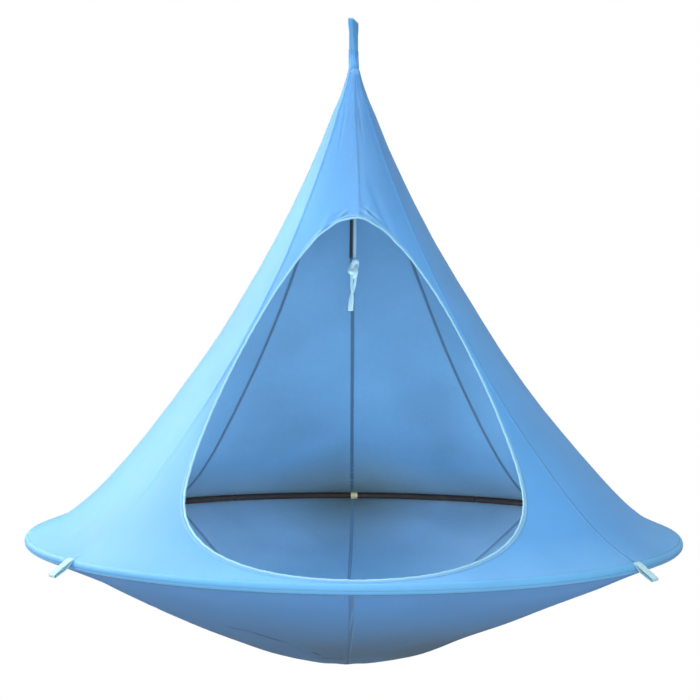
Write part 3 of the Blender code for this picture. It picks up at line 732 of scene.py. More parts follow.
def add_knot():
    """A knot of two crossing turns, fuller at its upper right and lower left."""
    turns = 2 * pi * np.arange(KNOT_POINTS) / KNOT_POINTS
    x = KNOT_REACH[0] * (np.cos(turns) - 2 * np.cos(2 * turns)) / 3
    y = -KNOT_REACH[1] * np.sin(3 * turns)
    rise = KNOT_REACH[2] * (np.sin(turns) + 2 * np.sin(2 * turns)) / 3
    path = np.stack([TIE_LEAN + x + KNOT_SLOPE * rise, y, KNOT_MIDDLE + rise], axis=1)
    ahead = unit(np.roll(path, -1, axis=0) - np.roll(path, 1, axis=0))
    outward = unit(path - np.array([TIE_LEAN, 0, KNOT_MIDDLE]))
    across = unit(np.cross(ahead, outward))
    section = circle(KNOT_CORD, CORD_SIDES)
    points, faces, uvs = sweep(path, across, np.cross(ahead, across), section, closed_path=True)
    knot = add_piece("tie_knot_cord", points, faces, uvs, ("cord",), "inner_tie")
    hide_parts("tie_knot")


add_strands_and_tails()
add_knot()


# Profiles of the canopy and the bowl


def bezier(line, t):
    t = np.asarray(t, float)
    weights = ((1 - t) ** 3, 3 * (1 - t) ** 2 * t, 3 * (1 - t) * t * t, t**3)
    return [sum(w * point[axis] for w, point in zip(weights, line)) for axis in (0, 1)]


def profile_line(side, angle, pull, end, end_angle, end_pull):
    """The curve from the ring's upper (1) or lower (-1) side to its end. Angles are above or below level."""
    start = (RING_RADIUS + SHEET_OFFSET * sin(angle), side * SHEET_OFFSET * cos(angle))
    return (
        start,
        (start[0] - pull * cos(angle), start[1] + side * pull * sin(angle)),
        (end[0] + end_pull * cos(end_angle), end[1] - side * end_pull * sin(end_angle)),
        end,
    )


PROFILE_STEPS = 2000


class Profile:
    """A profile line with tables for its length and heights."""

    def __init__(self, outward, *shape):
        self.r, self.z = bezier(profile_line(outward, *shape), np.linspace(0, 1, PROFILE_STEPS + 1))
        self.s = lengths_along(np.stack([self.r, self.z], axis=1))
        slope = unit(np.stack([np.gradient(self.r), np.gradient(self.z)], axis=1))
        self.nr = outward * slope[:, 1]
        self.nz = -outward * slope[:, 0]

    def at(self, s):
        """Radius, height and the two parts of the outward normal, at a length along the profile."""
        return [np.interp(s, self.s, table) for table in (self.r, self.z, self.nr, self.nz)]

    def length_at_height(self, height):
        return np.interp(height, self.z, self.s)


CANOPY_TOP = ((NECK_RADIUS, NECK_HEIGHT), pi / 2 - CANOPY_NECK_ANGLE, CANOPY_NECK_PULL)
FLOOR_END = ((PATCH_RADIUS, -FLOOR_DEPTH), FLOOR_PATCH_ANGLE, FLOOR_PATCH_PULL)
CANOPY = Profile(1, CANOPY_RIM_ANGLE, CANOPY_RIM_PULL, *CANOPY_TOP)
FLOOR = Profile(-1, FLOOR_RIM_ANGLE, FLOOR_RIM_PULL, *FLOOR_END)
CANOPY_LENGTH = CANOPY.s[-1]
FLOOR_LENGTH = FLOOR.s[-1]

# How the cloth stands off these profiles. Lengths are along the profile from the rim.

# Share of the way from a circle to a straight chord that a gore is flatter between its seams, and over
# which lengths and radii it comes in
CANOPY_FLATNESS = 0.5
CANOPY_FLAT_LENGTHS = (0.05, 0.80)
FLOOR_FLATNESS = 0.4
FLOOR_FLAT_LENGTHS = (0.0, 0.2)
FLOOR_FLAT_RADII = (0.132, 0.440)

# Seams that are off their gore's angle. Canopy: distance, and where its drift starts and ends from the
# neck. Bowl: distance at the rim, and what is added lower down.
CANOPY_DRIFTS = {0: (0.010, 0.05, 0.45), 4: (0.0088, 0.05, 0.35)}
FLOOR_DRIFTS = {0: (-0.004, 0.011), 4: (0.0072, -0.010)}
FLOOR_DRIFT_LENGTH = 0.5

# The upper tent leans to the left between two heights, and the bowl's bottom between two depths
LEAN = (0.55, 1.30, -0.0096)
FLOOR_LEAN = (0.02, 0.30, -0.021)

# Least radii that a distance round the axis is measured at
LEAST_SEAM_RADIUS = 0.05
LEAST_FLOOR_RADIUS = 0.02

# Slack beside seams: depth, distance from the seam and half width. Its pucker: wave, share and phase.
CANOPY_SLACK = (0.0005, 0.012, 0.008)
FLOOR_SLACK = (0.0006, 0.020, 0.012)
PUCKER = 0.6
PUCKERS = ((0.037, 1.0, 1.9), (0.023, 0.7, 2.3))

# Uneven cloth: height, wave and seed, and the length at which it is full
UNEVEN_START = 0.02
CANOPY_UNEVEN = ((0.0016, 0.33, 4, 0.15), (0.0004, 0.07, 9, 0.10))
FLOOR_UNEVEN = (0.0022, 0.30, 14, 0.15)

# Sewn edges: how far they are drawn in, and how far from the edge
CANOPY_EDGE_DIP = 0.0004
FLOOR_EDGE_DIP = 0.0012
EDGE_DIP_LENGTH = 0.0022

# Neck: pleats with their uneven places, the cloth drawn in under the neck, and its narrower end, with
# lengths from the neck
PLEATS = 22
PLEAT_DEPTH = 0.0003
PLEAT_LENGTHS = (0.26, 0.03)
PLEAT_TURN = 3
PLEAT_WAVE = (0.2, 5)
NECK_DRAW = (0.15, 0.0045)
NECK_END = (0.078, 0.015, 0.0038)

# Creases of the canopy's front: two ends as (x, height), half width and depth
CREASES = (
    ((-0.068, 0.868), (-0.018, 0.894), 0.0042, 0.00468),
    ((-0.060, 0.880), (-0.024, 0.902), 0.0034, -0.0026),
    ((0.006, 0.907), (0.060, 0.862), 0.0032, -0.0039),
    ((0.010, 0.917), (0.064, 0.873), 0.0032, 0.00364),
    ((0.020, 0.920), (0.060, 0.886), 0.0028, -0.0026),
    ((0.040, 0.985), (0.125, 0.790), 0.0090, 0.00416),
    ((0.010, 1.270), (0.028, 1.120), 0.0035, 0.00156),
    ((-0.020, 1.250), (-0.045, 1.080), 0.0040, 0.00156),
    ((-0.120, 0.780), (-0.060, 0.900), 0.0080, -0.0026),
)

# Where a crease comes in and goes out, as shares of its length
CREASE_START = (-0.1, 0.35)
CREASE_STOP = (1.1, 0.65)

# Where the canopy hangs in: angle and its half width, length and its half width, depth
HOLLOWS = ((3 * pi / 2, 0.6, 0.19, 0.20, 0.016), (pi / 2, 0.6, 0.12, 0.12, 0.009))
HOLLOW_START = (0.0, 0.10)

# Where the bowl is fuller: its left side as angle, half width, length, half width and height, and its
# bottom as radius, half width and height
FULL_LEFT = (3 * pi / 2, 0.6, 0.27, 0.13, 0.016)
FULL_BOTTOM = (0.27, 0.10, 0.004)

# Rays of the bowl round its patch: how many, height, radii between which they come in from outside and
# inside, uneven places, and least and uneven share of the height
RAYS = 19
RAY_HEIGHT = 0.0012
RAY_OUTSIDE = (0.310, 0.120)
RAY_INSIDE = (0.060, 0.110)
RAY_TURN = 2.5
RAY_WAVE = (0.25, 21)
RAY_SHARES = (0.6, 0.4)
RAY_SHARE_WAVE = (1.1, 3)

# Wrinkles of the bowl: two ends as (x, y), half width and depth
FLOOR_CREASES = (
    ((-0.344, -0.048), (-0.189, -0.002), 0.006, 0.0036),
    ((-0.400, -0.100), (-0.230, -0.030), 0.006, -0.0024),
    ((-0.138, -0.446), (-0.087, -0.356), 0.005, 0.0032),
    ((-0.613, -0.232), (-0.382, -0.541), 0.007, 0.0032),
    ((-0.560, -0.050), (-0.420, -0.240), 0.008, 0.0020),
    ((0.420, -0.260), (0.300, -0.120), 0.008, 0.0016),
    ((-0.020, -0.620), (-0.006, -0.420), 0.004, 0.0014),
)


def canopy_drift(s, index, r):
    """Angle by which a seam of the canopy is off its place."""
    if index not in CANOPY_DRIFTS:
        return 0 * s
    distance, start, end = CANOPY_DRIFTS[index]
    away = distance * smooth(start, end, CANOPY_LENGTH - s)
    return np.arcsin(away / np.maximum(r, LEAST_SEAM_RADIUS))


def floor_drift(s, index, r):
    """Angle by which a seam of the bowl is off its place."""
    start, more = FLOOR_DRIFTS.get(index, (0, 0))
    return (start + more * smooth(0.0, FLOOR_DRIFT_LENGTH, s)) / r


def gore_angle(s, angle, r):
    """The angle as the gores count it, whole steps at each seam's true place."""
    turned = angle
    for seam in CANOPY_DRIFTS:
        far = np.abs(np.mod(angle - seam * GORE_ANGLE + pi, 2 * pi) - pi)
        turned = turned - canopy_drift(s, seam, r) * smooth(GORE_ANGLE, 0.0, far)
    return turned


def flat_radius(r, angle, flatness):
    """The radius between seams, where a gore is flatter than a circle."""
    within = np.mod(angle, GORE_ANGLE) - GORE_ANGLE / 2
    chord = cos(GORE_ANGLE / 2) / np.cos(within)
    return r * (1 + flatness * (chord - 1))


def seam_distance(r, angle):
    index = np.round(angle / GORE_ANGLE)
    return r * (angle - index * GORE_ANGLE), np.mod(index, GORES)


def seam_slack(s, r, angle, depth, away, half):
    """The cloth is drawn in beside each seam, more and less along it."""
    beside, index = seam_distance(r, angle)
    pucker = sum(share * np.sin(2 * pi * s / wave + phase * index) for wave, share, phase in PUCKERS)
    return -depth * bell(np.abs(beside), away, half) * (1 + PUCKER * pucker)


def fold_depth(place, start, end, half, depth):
    """Depth of a crease between two points of a flat view, at places of that view."""
    (x, z), (x0, z0), (x1, z1) = place, start, end
    length = sqrt((x1 - x0) ** 2 + (z1 - z0) ** 2)
    share = ((x - x0) * (x1 - x0) + (z - z0) * (z1 - z0)) / length**2
    off = ((x - x0) * (z1 - z0) - (z - z0) * (x1 - x0)) / length
    return depth * bell(off, 0, half) * smooth(*CREASE_START, share) * smooth(*CREASE_STOP, share)


def canopy_relief(s, angle):
    r, z, _, _ = CANOPY.at(s)
    x = r * np.sin(angle)
    y = -r * np.cos(angle)
    relief = seam_slack(s, r, gore_angle(s, angle, r), *CANOPY_SLACK)
    for height, wave, seed, full in CANOPY_UNEVEN:
        relief = relief + height * ripple((x, y, z), wave, seed) * smooth(UNEVEN_START, full, s)
    from_neck = CANOPY_LENGTH - s
    pleats = np.cos(PLEATS * angle + PLEAT_TURN * ripple((x, y, z), *PLEAT_WAVE))
    relief = relief + PLEAT_DEPTH * pleats * smooth(*PLEAT_LENGTHS, from_neck)
    relief = relief - NECK_END[2] * smooth(NECK_END[0], NECK_END[1], from_neck)
    relief = relief - NECK_DRAW[1] * np.sin(pi * np.clip(from_neck / NECK_DRAW[0], 0, 1)) ** 2
    relief = relief - CANOPY_EDGE_DIP * bell(s, 0, EDGE_DIP_LENGTH)
    for crease in CREASES:
        relief = relief - fold_depth((x, z), *crease) * (y < 0)
    for middle, half_angle, at, reach, depth in HOLLOWS:
        hollow = depth * bell(angle, middle, half_angle) * bell(s, at, reach)
        relief = relief - hollow * smooth(*HOLLOW_START, s)
    return relief


def floor_relief(s, angle, r):
    x = r * np.sin(angle)
    y = -r * np.cos(angle)
    relief = seam_slack(s, np.maximum(r, LEAST_FLOOR_RADIUS), angle, *FLOOR_SLACK)
    height, wave, seed, full = FLOOR_UNEVEN
    relief = relief + height * ripple((x, y), wave, seed) * smooth(UNEVEN_START, full, s)
    rays = RAY_HEIGHT * np.cos(RAYS * angle + RAY_TURN * ripple((x, y), *RAY_WAVE))
    rays = rays * (RAY_SHARES[0] + RAY_SHARES[1] * ripple((angle,), *RAY_SHARE_WAVE))
    relief = relief + rays * smooth(*RAY_OUTSIDE, r) * smooth(*RAY_INSIDE, r)
    middle, half_angle, at, reach, height = FULL_LEFT
    relief = relief + height * bell(angle, middle, half_angle) * bell(s, at, reach)
    relief = relief + FULL_BOTTOM[2] * bell(r, FULL_BOTTOM[0], FULL_BOTTOM[1])
    for crease in FLOOR_CREASES:
        relief = relief - fold_depth((x, y), *crease)
    return relief - FLOOR_EDGE_DIP * bell(s, 0, EDGE_DIP_LENGTH)


def lean(points):
    """Points of the upper tent moved to the side where it leans."""
    moved = np.array(points, float)
    moved[..., 0] += LEAN[2] * smooth(LEAN[0], LEAN[1], moved[..., 2] - RING_Z)
    return moved


def canopy_flatness(s):
    return CANOPY_FLATNESS * smooth(*CANOPY_FLAT_LENGTHS, s)


def canopy_point(s, angle, offset=0.0):
    """Points of the canopy's middle surface, moved outwards by offset."""
    r, z, nr, nz = CANOPY.at(s)
    lift = canopy_relief(s, angle) + offset
    radius = flat_radius(r, gore_angle(s, angle, r), canopy_flatness(s)) + lift * nr
    return lean(round_axis(radius, angle, RING_Z + z + lift * nz))


def floor_point(s, angle, offset=0.0):
    """Points of the bowl's middle surface, moved outwards by offset. Past its profile's end is the patch."""
    r, z, nr, nz = FLOOR.at(s)
    patch = s > FLOOR_LENGTH
    r = np.where(patch, FLOOR_LENGTH + PATCH_RADIUS - s, r)
    nr = np.where(patch, 0.0, nr)
    nz = np.where(patch, -1.0, nz)
    lift = floor_relief(s, angle, r) + offset
    flatness = FLOOR_FLATNESS * smooth(*FLOOR_FLAT_LENGTHS, s) * smooth(*FLOOR_FLAT_RADII, r)
    points = round_axis(flat_radius(r, angle, flatness) + lift * nr, angle, RING_Z + z + lift * nz)
    points[..., 0] += FLOOR_LEAN[2] * smooth(FLOOR_LEAN[0], FLOOR_LEAN[1], RING_Z - points[..., 2])
    return points


# Door outline


def door_line():
    """Half of the door's line as (length along the profile, angle), from its bottom to its top."""
    lower = (
        (0.0, DOOR_BOTTOM),
        (DOOR_BOTTOM_PULL, DOOR_BOTTOM),
        (DOOR_HALF_WIDTH, DOOR_WIDEST_HEIGHT - DOOR_PULL_DOWN),
        (DOOR_HALF_WIDTH, DOOR_WIDEST_HEIGHT),
    )
    upper = (
        (DOOR_HALF_WIDTH, DOOR_WIDEST_HEIGHT),
        (DOOR_HALF_WIDTH, DOOR_WIDEST_HEIGHT + DOOR_PULL_UP),
        (DOOR_TOP_PULL, DOOR_TOP),
        (0.0, DOOR_TOP),
    )
    t = np.linspace(0, 1, 401)
    x0, z0 = bezier(lower, t[:-1])
    x1, z1 = bezier(upper, t)
    x = np.concatenate([x0, x1])
    s = CANOPY.length_at_height(np.concatenate([z0, z1]))
    r = CANOPY.at(s)[0]
    angle = np.arcsin(x / r)
    for _ in range(6):
        angle = np.arcsin(x / flat_radius(r, angle, canopy_flatness(s)))
    return np.stack([s, angle], axis=1)


DOOR = door_line()


def door_frames(line, closed):
    """Places on the door's line with the directions away from the opening and out of the cloth."""
    path = canopy_point(line[:, 0], line[:, 1])
    _, _, nr, nz = CANOPY.at(line[:, 0])
    normal = round_axis(nr, line[:, 1], nz)
    if closed:
        ahead = unit(np.roll(path, -1, axis=0) - np.roll(path, 1, axis=0))
    else:
        ahead = unit(np.gradient(path, axis=0))
        ahead[0] = (1, 0, 0)
        ahead[-1] = (-1, 0, 0)
    away = unit(np.cross(ahead, normal))
    return path, away, unit(np.cross(away, ahead))


def on_canopy(points):
    """(length along the profile, angle) of points near the canopy."""
    s = CANOPY.length_at_height(points[:, 2] - RING_Z)
    across = 2 * points[:, 0] - lean(points)[:, 0]
    return np.stack([s, np.arctan2(across, -points[:, 1])], axis=1)


def even_on_canopy(line, count):
    """The same line with count places at equal distances."""
    at = lengths_along(canopy_point(line[:, 0], line[:, 1]))
    return columns_at(np.linspace(0, at[-1], count), at, line)


# Canopy

# Rows of points, as lengths along the profile: close together at the rim, then even
RIM_ROWS = (0.0, 0.0015, 0.003, 0.005, 0.008, 0.012, 0.018, 0.026, 0.036)
EVEN_START = 0.047
ROW_STEP = 0.0125
CANOPY_EVEN_ROWS = np.linspace(EVEN_START, CANOPY_LENGTH, int(CANOPY_LENGTH / ROW_STEP))
CANOPY_ROWS = np.concatenate([RIM_ROWS, CANOPY_EVEN_ROWS])
FLOOR_ROWS = np.concatenate([RIM_ROWS, np.linspace(EVEN_START, FLOOR_LENGTH, 70)])
GORE_COLUMNS = 36

# The fan of points beside the door: columns and how they crowd at the door, its least row above the
# door's bottom, and the height up to which its rays are level
FAN_COLUMNS = 26
FAN_CROWDING = 1.4
FAN_START = 0.0006
FAN_HEIGHT = 0.780


def canopy_fan():
    """(length, angle) of the right front gore, in rays from the door's edge to the rim, seam and neck."""
    door_height = CANOPY.at(DOOR[:, 0])[1]
    row_height = CANOPY.at(CANOPY_ROWS)[1]
    level = (row_height > DOOR_BOTTOM + FAN_START) & (row_height < FAN_HEIGHT)
    middle = columns_at(row_height[level], door_height, DOOR)
    low_rows = int(np.argmax(level))
    high_rows = int((row_height >= FAN_HEIGHT).sum())
    below = np.vstack([DOOR[door_height < row_height[level][0]], middle[:1]])
    above = np.vstack([middle[-1:], DOOR[door_height > row_height[level][-1]]])
    lower = even_on_canopy(below, GORE_COLUMNS + low_rows + 1)
    upper = even_on_canopy(above, GORE_COLUMNS + high_rows + 1)
    edge = np.vstack([lower[:-1], middle, upper[1:]])
    path, away, _ = door_frames(edge, False)
    inner = on_canopy(path + away * (PIPING_RADIUS + CLEARANCE))
    inner[0, 1] = 0.0
    inner[-1, 1] = 0.0
    angles = GORE_ANGLE * np.arange(GORE_COLUMNS + 1) / GORE_COLUMNS
    rim = np.stack([0 * angles[:-1], angles[:-1]], axis=1)
    seam = np.stack([CANOPY_ROWS[:-1], np.full(len(CANOPY_ROWS) - 1, GORE_ANGLE)], axis=1)
    neck = np.stack([np.full(GORE_COLUMNS + 1, CANOPY_LENGTH), angles[::-1]], axis=1)
    outer = np.vstack([rim, seam, neck])
    shares = (np.arange(FAN_COLUMNS + 1) / FAN_COLUMNS) ** FAN_CROWDING
    return inner[:, None] + (outer - inner)[:, None] * shares[None, :, None]


def weld(places, points, faces):
    """Joins points that share a place, and drops faces that this leaves with no area."""
    _, first, index = np.unique(np.round(points, 6), axis=0, return_index=True, return_inverse=True)
    kept = []
    for face in index.reshape(-1)[faces]:
        corners = [int(c) for k, c in enumerate(face) if c != face[k - 1]]
        if len(corners) > 2:
            kept.append(corners)
    return places[first], points[first], kept


def mark_seams(mesh, places):
    """The folds at the seams are sharp."""
    beside = np.abs(seam_distance(1.0, places[:, 1])[0]) < 1e-6
    ends = np.empty(len(mesh.edges) * 2, np.int32)
    mesh.edges.foreach_get("vertices", ends)
    ends = ends.reshape(-1, 2)
    turn = np.abs(places[ends[:, 0], 1] - places[ends[:, 1], 1])
    same = (turn < 1e-4) | (np.abs(turn - 2 * pi) < 1e-4)
    attribute = mesh.attributes.get("sharp_edge") or mesh.attributes.new("sharp_edge", "BOOLEAN", "EDGE")
    attribute.data.foreach_set("value", beside[ends].all(axis=1) & same)


def gore_uvs(places, faces):
    """Texture places in metres: across each gore from its middle, and along the profile."""
    uvs = []
    for face in faces:
        corner = places[list(face)]
        middle = corner[:, 1].mean() if np.ptp(corner[:, 1]) < pi else 0.0
        centre = (np.floor(middle / GORE_ANGLE) + 0.5) * GORE_ANGLE
        turn = np.mod(corner[:, 1] - centre + pi, 2 * pi) - pi
        uvs += list(zip(CANOPY.at(corner[:, 0])[0] * turn, corner[:, 0]))
    return uvs


def bend_at_neck(piece):
    """Bakes the piece's place into its points; the cloth just below the neck, which bends when the tent
    swings to and fro, is not bent here.
    """
    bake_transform(piece)


def add_canopy():
    """One curved sheet: a fan of cloth on each side of the door, and an even grid for the rest."""
    fan = canopy_fan()
    mirrored = fan * np.array([1, -1])
    rest_angles = np.linspace(GORE_ANGLE, 2 * pi - GORE_ANGLE, (GORES - 2) * GORE_COLUMNS + 1)
    rest = np.stack(np.meshgrid(CANOPY_ROWS, rest_angles, indexing="ij"), axis=-1)
    places = np.vstack([fan.reshape(-1, 2), mirrored.reshape(-1, 2), rest.reshape(-1, 2)])
    rays, columns = fan.shape[:2]
    right = grid_faces(rays, columns)
    left = grid_faces(rays, columns, rays * columns, flip=True)
    others = grid_faces(len(CANOPY_ROWS), len(rest_angles), 2 * rays * columns)
    points = canopy_point(places[:, 0], places[:, 1])
    places, points, faces = weld(places, points, np.vstack([right, left, others]))
    uvs = gore_uvs(places, faces)
    piece = add_piece("canopy", points, faces, uvs, ("canopy", "inner"), None)
    mark_seams(piece.data, places)
    bend_at_neck(piece)
    thicken(piece, inner_material=True)
    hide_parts(*("canopy_gore_" + side for side in SIDES))


# Seams

SEAM_SECTION = rounded_box(2.0, SEAM_PLY, SEAM_PLY * 0.3, 2)
SEAM_START = 0.004
SEAM_STEP = 0.012
# Where the cloth is narrow, half a seam's width is this share of its gore
SEAM_SHARE = 0.3


def seam_strips(seam_line, side, flip=False):
    """Flat strips over every gore edge as one mesh, on the outer side (1) or the inner side (-1).
    The seam line gives a seam's lengths along the profile, and a function for the points beside them."""
    points = []
    faces = []
    uvs = []
    sides = len(SEAM_SECTION)
    lift = side * (CLOTH / 2 + SEAM_PLY / 2)
    across = SEAM_SECTION[:, 0] * SEAM_WIDTH / 2
    first = 0
    for s, point_at in map(seam_line, range(GORES)):
        rows = [point_at(x, lift + y) for x, y in SEAM_SECTION]
        points.append(np.stack(rows, axis=1).reshape(-1, 3))
        last = (len(s) - 1) * sides
        caps = (range(sides - 1, -1, -1), range(last, last + sides))
        for i in range(len(s) - 1):
            for j in range(sides):
                k = (j + 1) % sides
                corners = [(i, j), (i, k), (i + 1, k), (i + 1, j)]
                if flip:
                    corners[1], corners[3] = corners[3], corners[1]
                faces.append([first + row * sides + column for row, column in corners])
                uvs += [(across[column], s[row]) for row, column in corners]
        for cap, end in zip(caps, (s[0], s[-1])):
            faces.append([first + corner for corner in (cap[::-1] if flip else cap)])
            uvs += [(0.0, end)] * sides
        first += len(s) * sides
    return np.vstack(points), faces, uvs


def canopy_seam(index):
    """A gore's edge from the rim to the neck, stopped where the door is cut away."""
    start = SEAM_START if index else float(DOOR[-1, 0]) + HEM_WIDTH
    s = np.linspace(start, CANOPY_LENGTH - SEAM_START, int((CANOPY_LENGTH - start) / SEAM_STEP))
    radius = CANOPY.at(s)[0]
    middle = GORE_ANGLE * index + canopy_drift(s, index, radius)
    half = np.minimum(SEAM_WIDTH / 2, radius * GORE_ANGLE * SEAM_SHARE) / radius
    return s, lambda x, lift: canopy_point(s, middle + x * half, lift)


def floor_seam(index):
    """A gore's edge from the rim to the patch."""
    s = FLOOR_ROWS[FLOOR_ROWS > SEAM_START]
    radius = FLOOR.at(s)[0]
    middle = GORE_ANGLE * index + floor_drift(s, index, radius)
    return s, lambda x, lift: floor_point(s, middle + x * SEAM_WIDTH / 2 / radius, lift)


def add_floor_seams():
    for label, side, material in (("outer", 1, "floor_seam"), ("inner", -1, "floor_inner_seam")):
        points, faces, uvs = seam_strips(floor_seam, side, flip=True)
        add_piece("floor_seams_" + label, points, faces, uvs, (material,), "tent")


def add_canopy_seams():
    for label, side, material in (("outer", 1, "seam"), ("inner", -1, "inner_seam")):
        points, faces, uvs = seam_strips(canopy_seam, side)
        piece = add_piece("canopy_seams_" + label, points, faces, uvs, (material,), None)
        bend_at_neck(piece)


# Piping and hem of the door

DOOR_POINTS = 260
BEAD_POINTS = 15
HEM_PLY = 0.0004
PIPING_GAP = CLOTH / 2 + 0.0001
PIPING_LIP = PIPING_GAP + 0.0005
PIPING_GRIP = BEAD_RADIUS * 0.6
LIP_END = BEAD_RADIUS + 0.0008
HEM_START = BEAD_RADIUS + 0.0010
# Uneven line of the bead: height and turn for each point, and a kink near the door's top
BEAD_WOBBLES = ((0.00036, 0.9), (0.00030, 2.3))
BEAD_KINK = (0.00132, 0.011)
KINK_HEIGHTS = (DOOR_TOP - 0.10, DOOR_TOP - 0.02)


def add_piping():
    """A piped bead that holds the door's edge, and the hem sewn down beside it on both faces."""
    half = even_on_canopy(DOOR, DOOR_POINTS)
    loop = np.vstack([half, half[::-1][1:-1] * np.array([1, -1])])
    path, away, normal = door_frames(loop, True)
    start = asin(PIPING_LIP / BEAD_RADIUS)
    turns = np.linspace(start, 2 * pi - start, BEAD_POINTS)
    bead = [(BEAD_RADIUS * cos(turn), BEAD_RADIUS * sin(turn)) for turn in turns]
    bead += [(LIP_END, -PIPING_LIP), (LIP_END, -PIPING_GAP), (PIPING_GRIP, -PIPING_GAP)]
    bead += [(PIPING_GRIP, PIPING_GAP), (LIP_END, PIPING_GAP), (LIP_END, PIPING_LIP)]
    count = np.arange(len(path))
    wobble = sum(height * np.sin(turn * count) for height, turn in BEAD_WOBBLES)
    kink = BEAD_KINK[0] * np.sin(path[:, 0] / BEAD_KINK[1]) * smooth(*KINK_HEIGHTS, path[:, 2] - RING_Z)
    line = path + away * (wobble + kink)[:, None]
    points, faces, uvs = sweep(line, away, normal, np.array(bead), closed_path=True)
    piece = add_piece("door_binding", points, faces, uvs, ("piping",), "tent")
    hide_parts("door_piping")
    for label, side in (("outer", 1), ("inner", -1)):
        low = side * PIPING_GAP
        high = side * (PIPING_GAP + HEM_PLY)
        hem = [(HEM_START, low), (HEM_WIDTH, low), (HEM_WIDTH, high), (HEM_START, high)][::side]
        points, faces, uvs = sweep(path, away, normal, np.array(hem), closed_path=True)
        add_piece("door_hem_" + label, points, faces, uvs, ("hem",), "tent")


# Band round the ring

BAND_COLUMNS = 720
BAND_GAP = 0.0004 / SHEET_OFFSET
BAND_SHARES = np.concatenate([[0, 0.015, 0.03, 0.05], np.linspace(0.07, 0.93, 40), [0.95, 0.97, 0.985, 1.0]])
BAND_DIPS = (0.0004, 0.0012)
BAND_WAVES = (236, 61)
BAND_WAVE_HEIGHT = 0.0003
BAND_WAVE_REACH = 0.006
# The band's crease and the swell below it: height, angle from the crease and half width. Then how far the
# crease wanders, with its wave and seed.
BAND_FOLDS = ((-0.0009, 0.0, 0.10), (0.0004, -0.3, 0.2))
BAND_WANDER = (0.10, 1.3, 8)


def add_band():
    """Cloth round the outside of the ring, drawn in at both sewn edges."""
    top = pi / 2 - CANOPY_RIM_ANGLE - BAND_GAP
    bottom = -pi / 2 + FLOOR_RIM_ANGLE + BAND_GAP
    turns = bottom + (top - bottom) * BAND_SHARES
    angles = 2 * pi * np.arange(BAND_COLUMNS + 1) / BAND_COLUMNS
    turn, angle = np.meshgrid(turns, angles[:-1], indexing="ij")
    edge = SHEET_OFFSET * np.minimum(turn - bottom, top - turn)
    waves = np.sin(BAND_WAVES[0] * angle) * np.sin(BAND_WAVES[1] * angle)
    lift = BAND_WAVE_HEIGHT * waves * bell(edge, 0, BAND_WAVE_REACH)
    lift = lift - np.where(turn > 0, *BAND_DIPS) * bell(edge, 0, EDGE_DIP_LENGTH)
    wander, wave, seed = BAND_WANDER
    fold = turn - BAND_CREASE - wander * ripple((angle,), wave, seed)
    for height, place, half in BAND_FOLDS:
        lift = lift + height * bell(fold, place, half)
    radius = RING_RADIUS + (SHEET_OFFSET + lift) * np.cos(turn)
    points = round_axis(radius, angle, RING_Z + (SHEET_OFFSET + lift) * np.sin(turn))
    faces, row, column = round_grid(len(turns), BAND_COLUMNS)
    across = SHEET_OFFSET * (turns - bottom)
    uvs = np.stack([across[row], RING_RADIUS * angles[column]], axis=-1)
    piece = add_piece("rim_band_cloth", points.reshape(-1, 3), faces, uvs, ("band",), "tent")
    thicken(piece)
    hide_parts("rim_band")


# Bowl

PATCH_ROWS = 10
PATCH_MIDDLE = 0.004


def add_floor():
    """One curved sheet: the bowl's gores, and the flat patch in its middle."""
    columns = GORES * GORE_COLUMNS
    angles = 2 * pi * np.arange(columns + 1) / columns
    patch_radii = np.linspace(PATCH_RADIUS, PATCH_MIDDLE, PATCH_ROWS + 1)[1:]
    rows = np.concatenate([FLOOR_ROWS, FLOOR_LENGTH + PATCH_RADIUS - patch_radii])
    radii = np.concatenate([FLOOR.at(FLOOR_ROWS)[0], patch_radii])
    s, angle = np.meshgrid(rows, angles[:-1], indexing="ij")
    points = floor_point(s, angle).reshape(-1, 3)
    faces, row, column = round_grid(len(rows), columns, flip=True)
    centre = (np.floor(angles[column.min(axis=1)] / GORE_ANGLE) + 0.5) * GORE_ANGLE
    uvs = np.stack([radii[row] * (angles[column] - centre[:, None]), rows[row]], axis=-1)
    middle = np.arange(len(points) - columns, len(points))[::-1]
    uvs = np.vstack([uvs.reshape(-1, 2), points[middle, :2]])
    indices = [*(2 * (row.min(axis=1) >= len(FLOOR_ROWS) - 1)), 2]
    faces = [*faces, middle]
    cloths = ("floor", "inner_floor", "patch", "patch")
    piece = add_piece("floor_bowl", points, faces, uvs, cloths, "tent", indices)
    thicken(piece, inner_material=True)
    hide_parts("floor_patch", *("floor_gore_" + side for side in SIDES))


# Ring and its tapes

SECTION_POINTS = 97
TUBE_SIDES = 28
# The tubes are narrower near their ends: by how much, and over what length
TUBE_ENDS = ((0.0006, 0.0012), (0.0002, 0.008))
TAPE_OFFSET = TUBE_RADIUS + 0.0009 + TAPE_THICKNESS / 2
TAPE_TURNS = (radians(100), radians(260))
TAPE_POINTS = 25
TAPE_WAVE = 0.0005
TAPE_WAVE_TURN = 3.1
TAPE_SECTION = rounded_box(TAPE_WIDTH, thickness=0.0012, corner=0.0005)


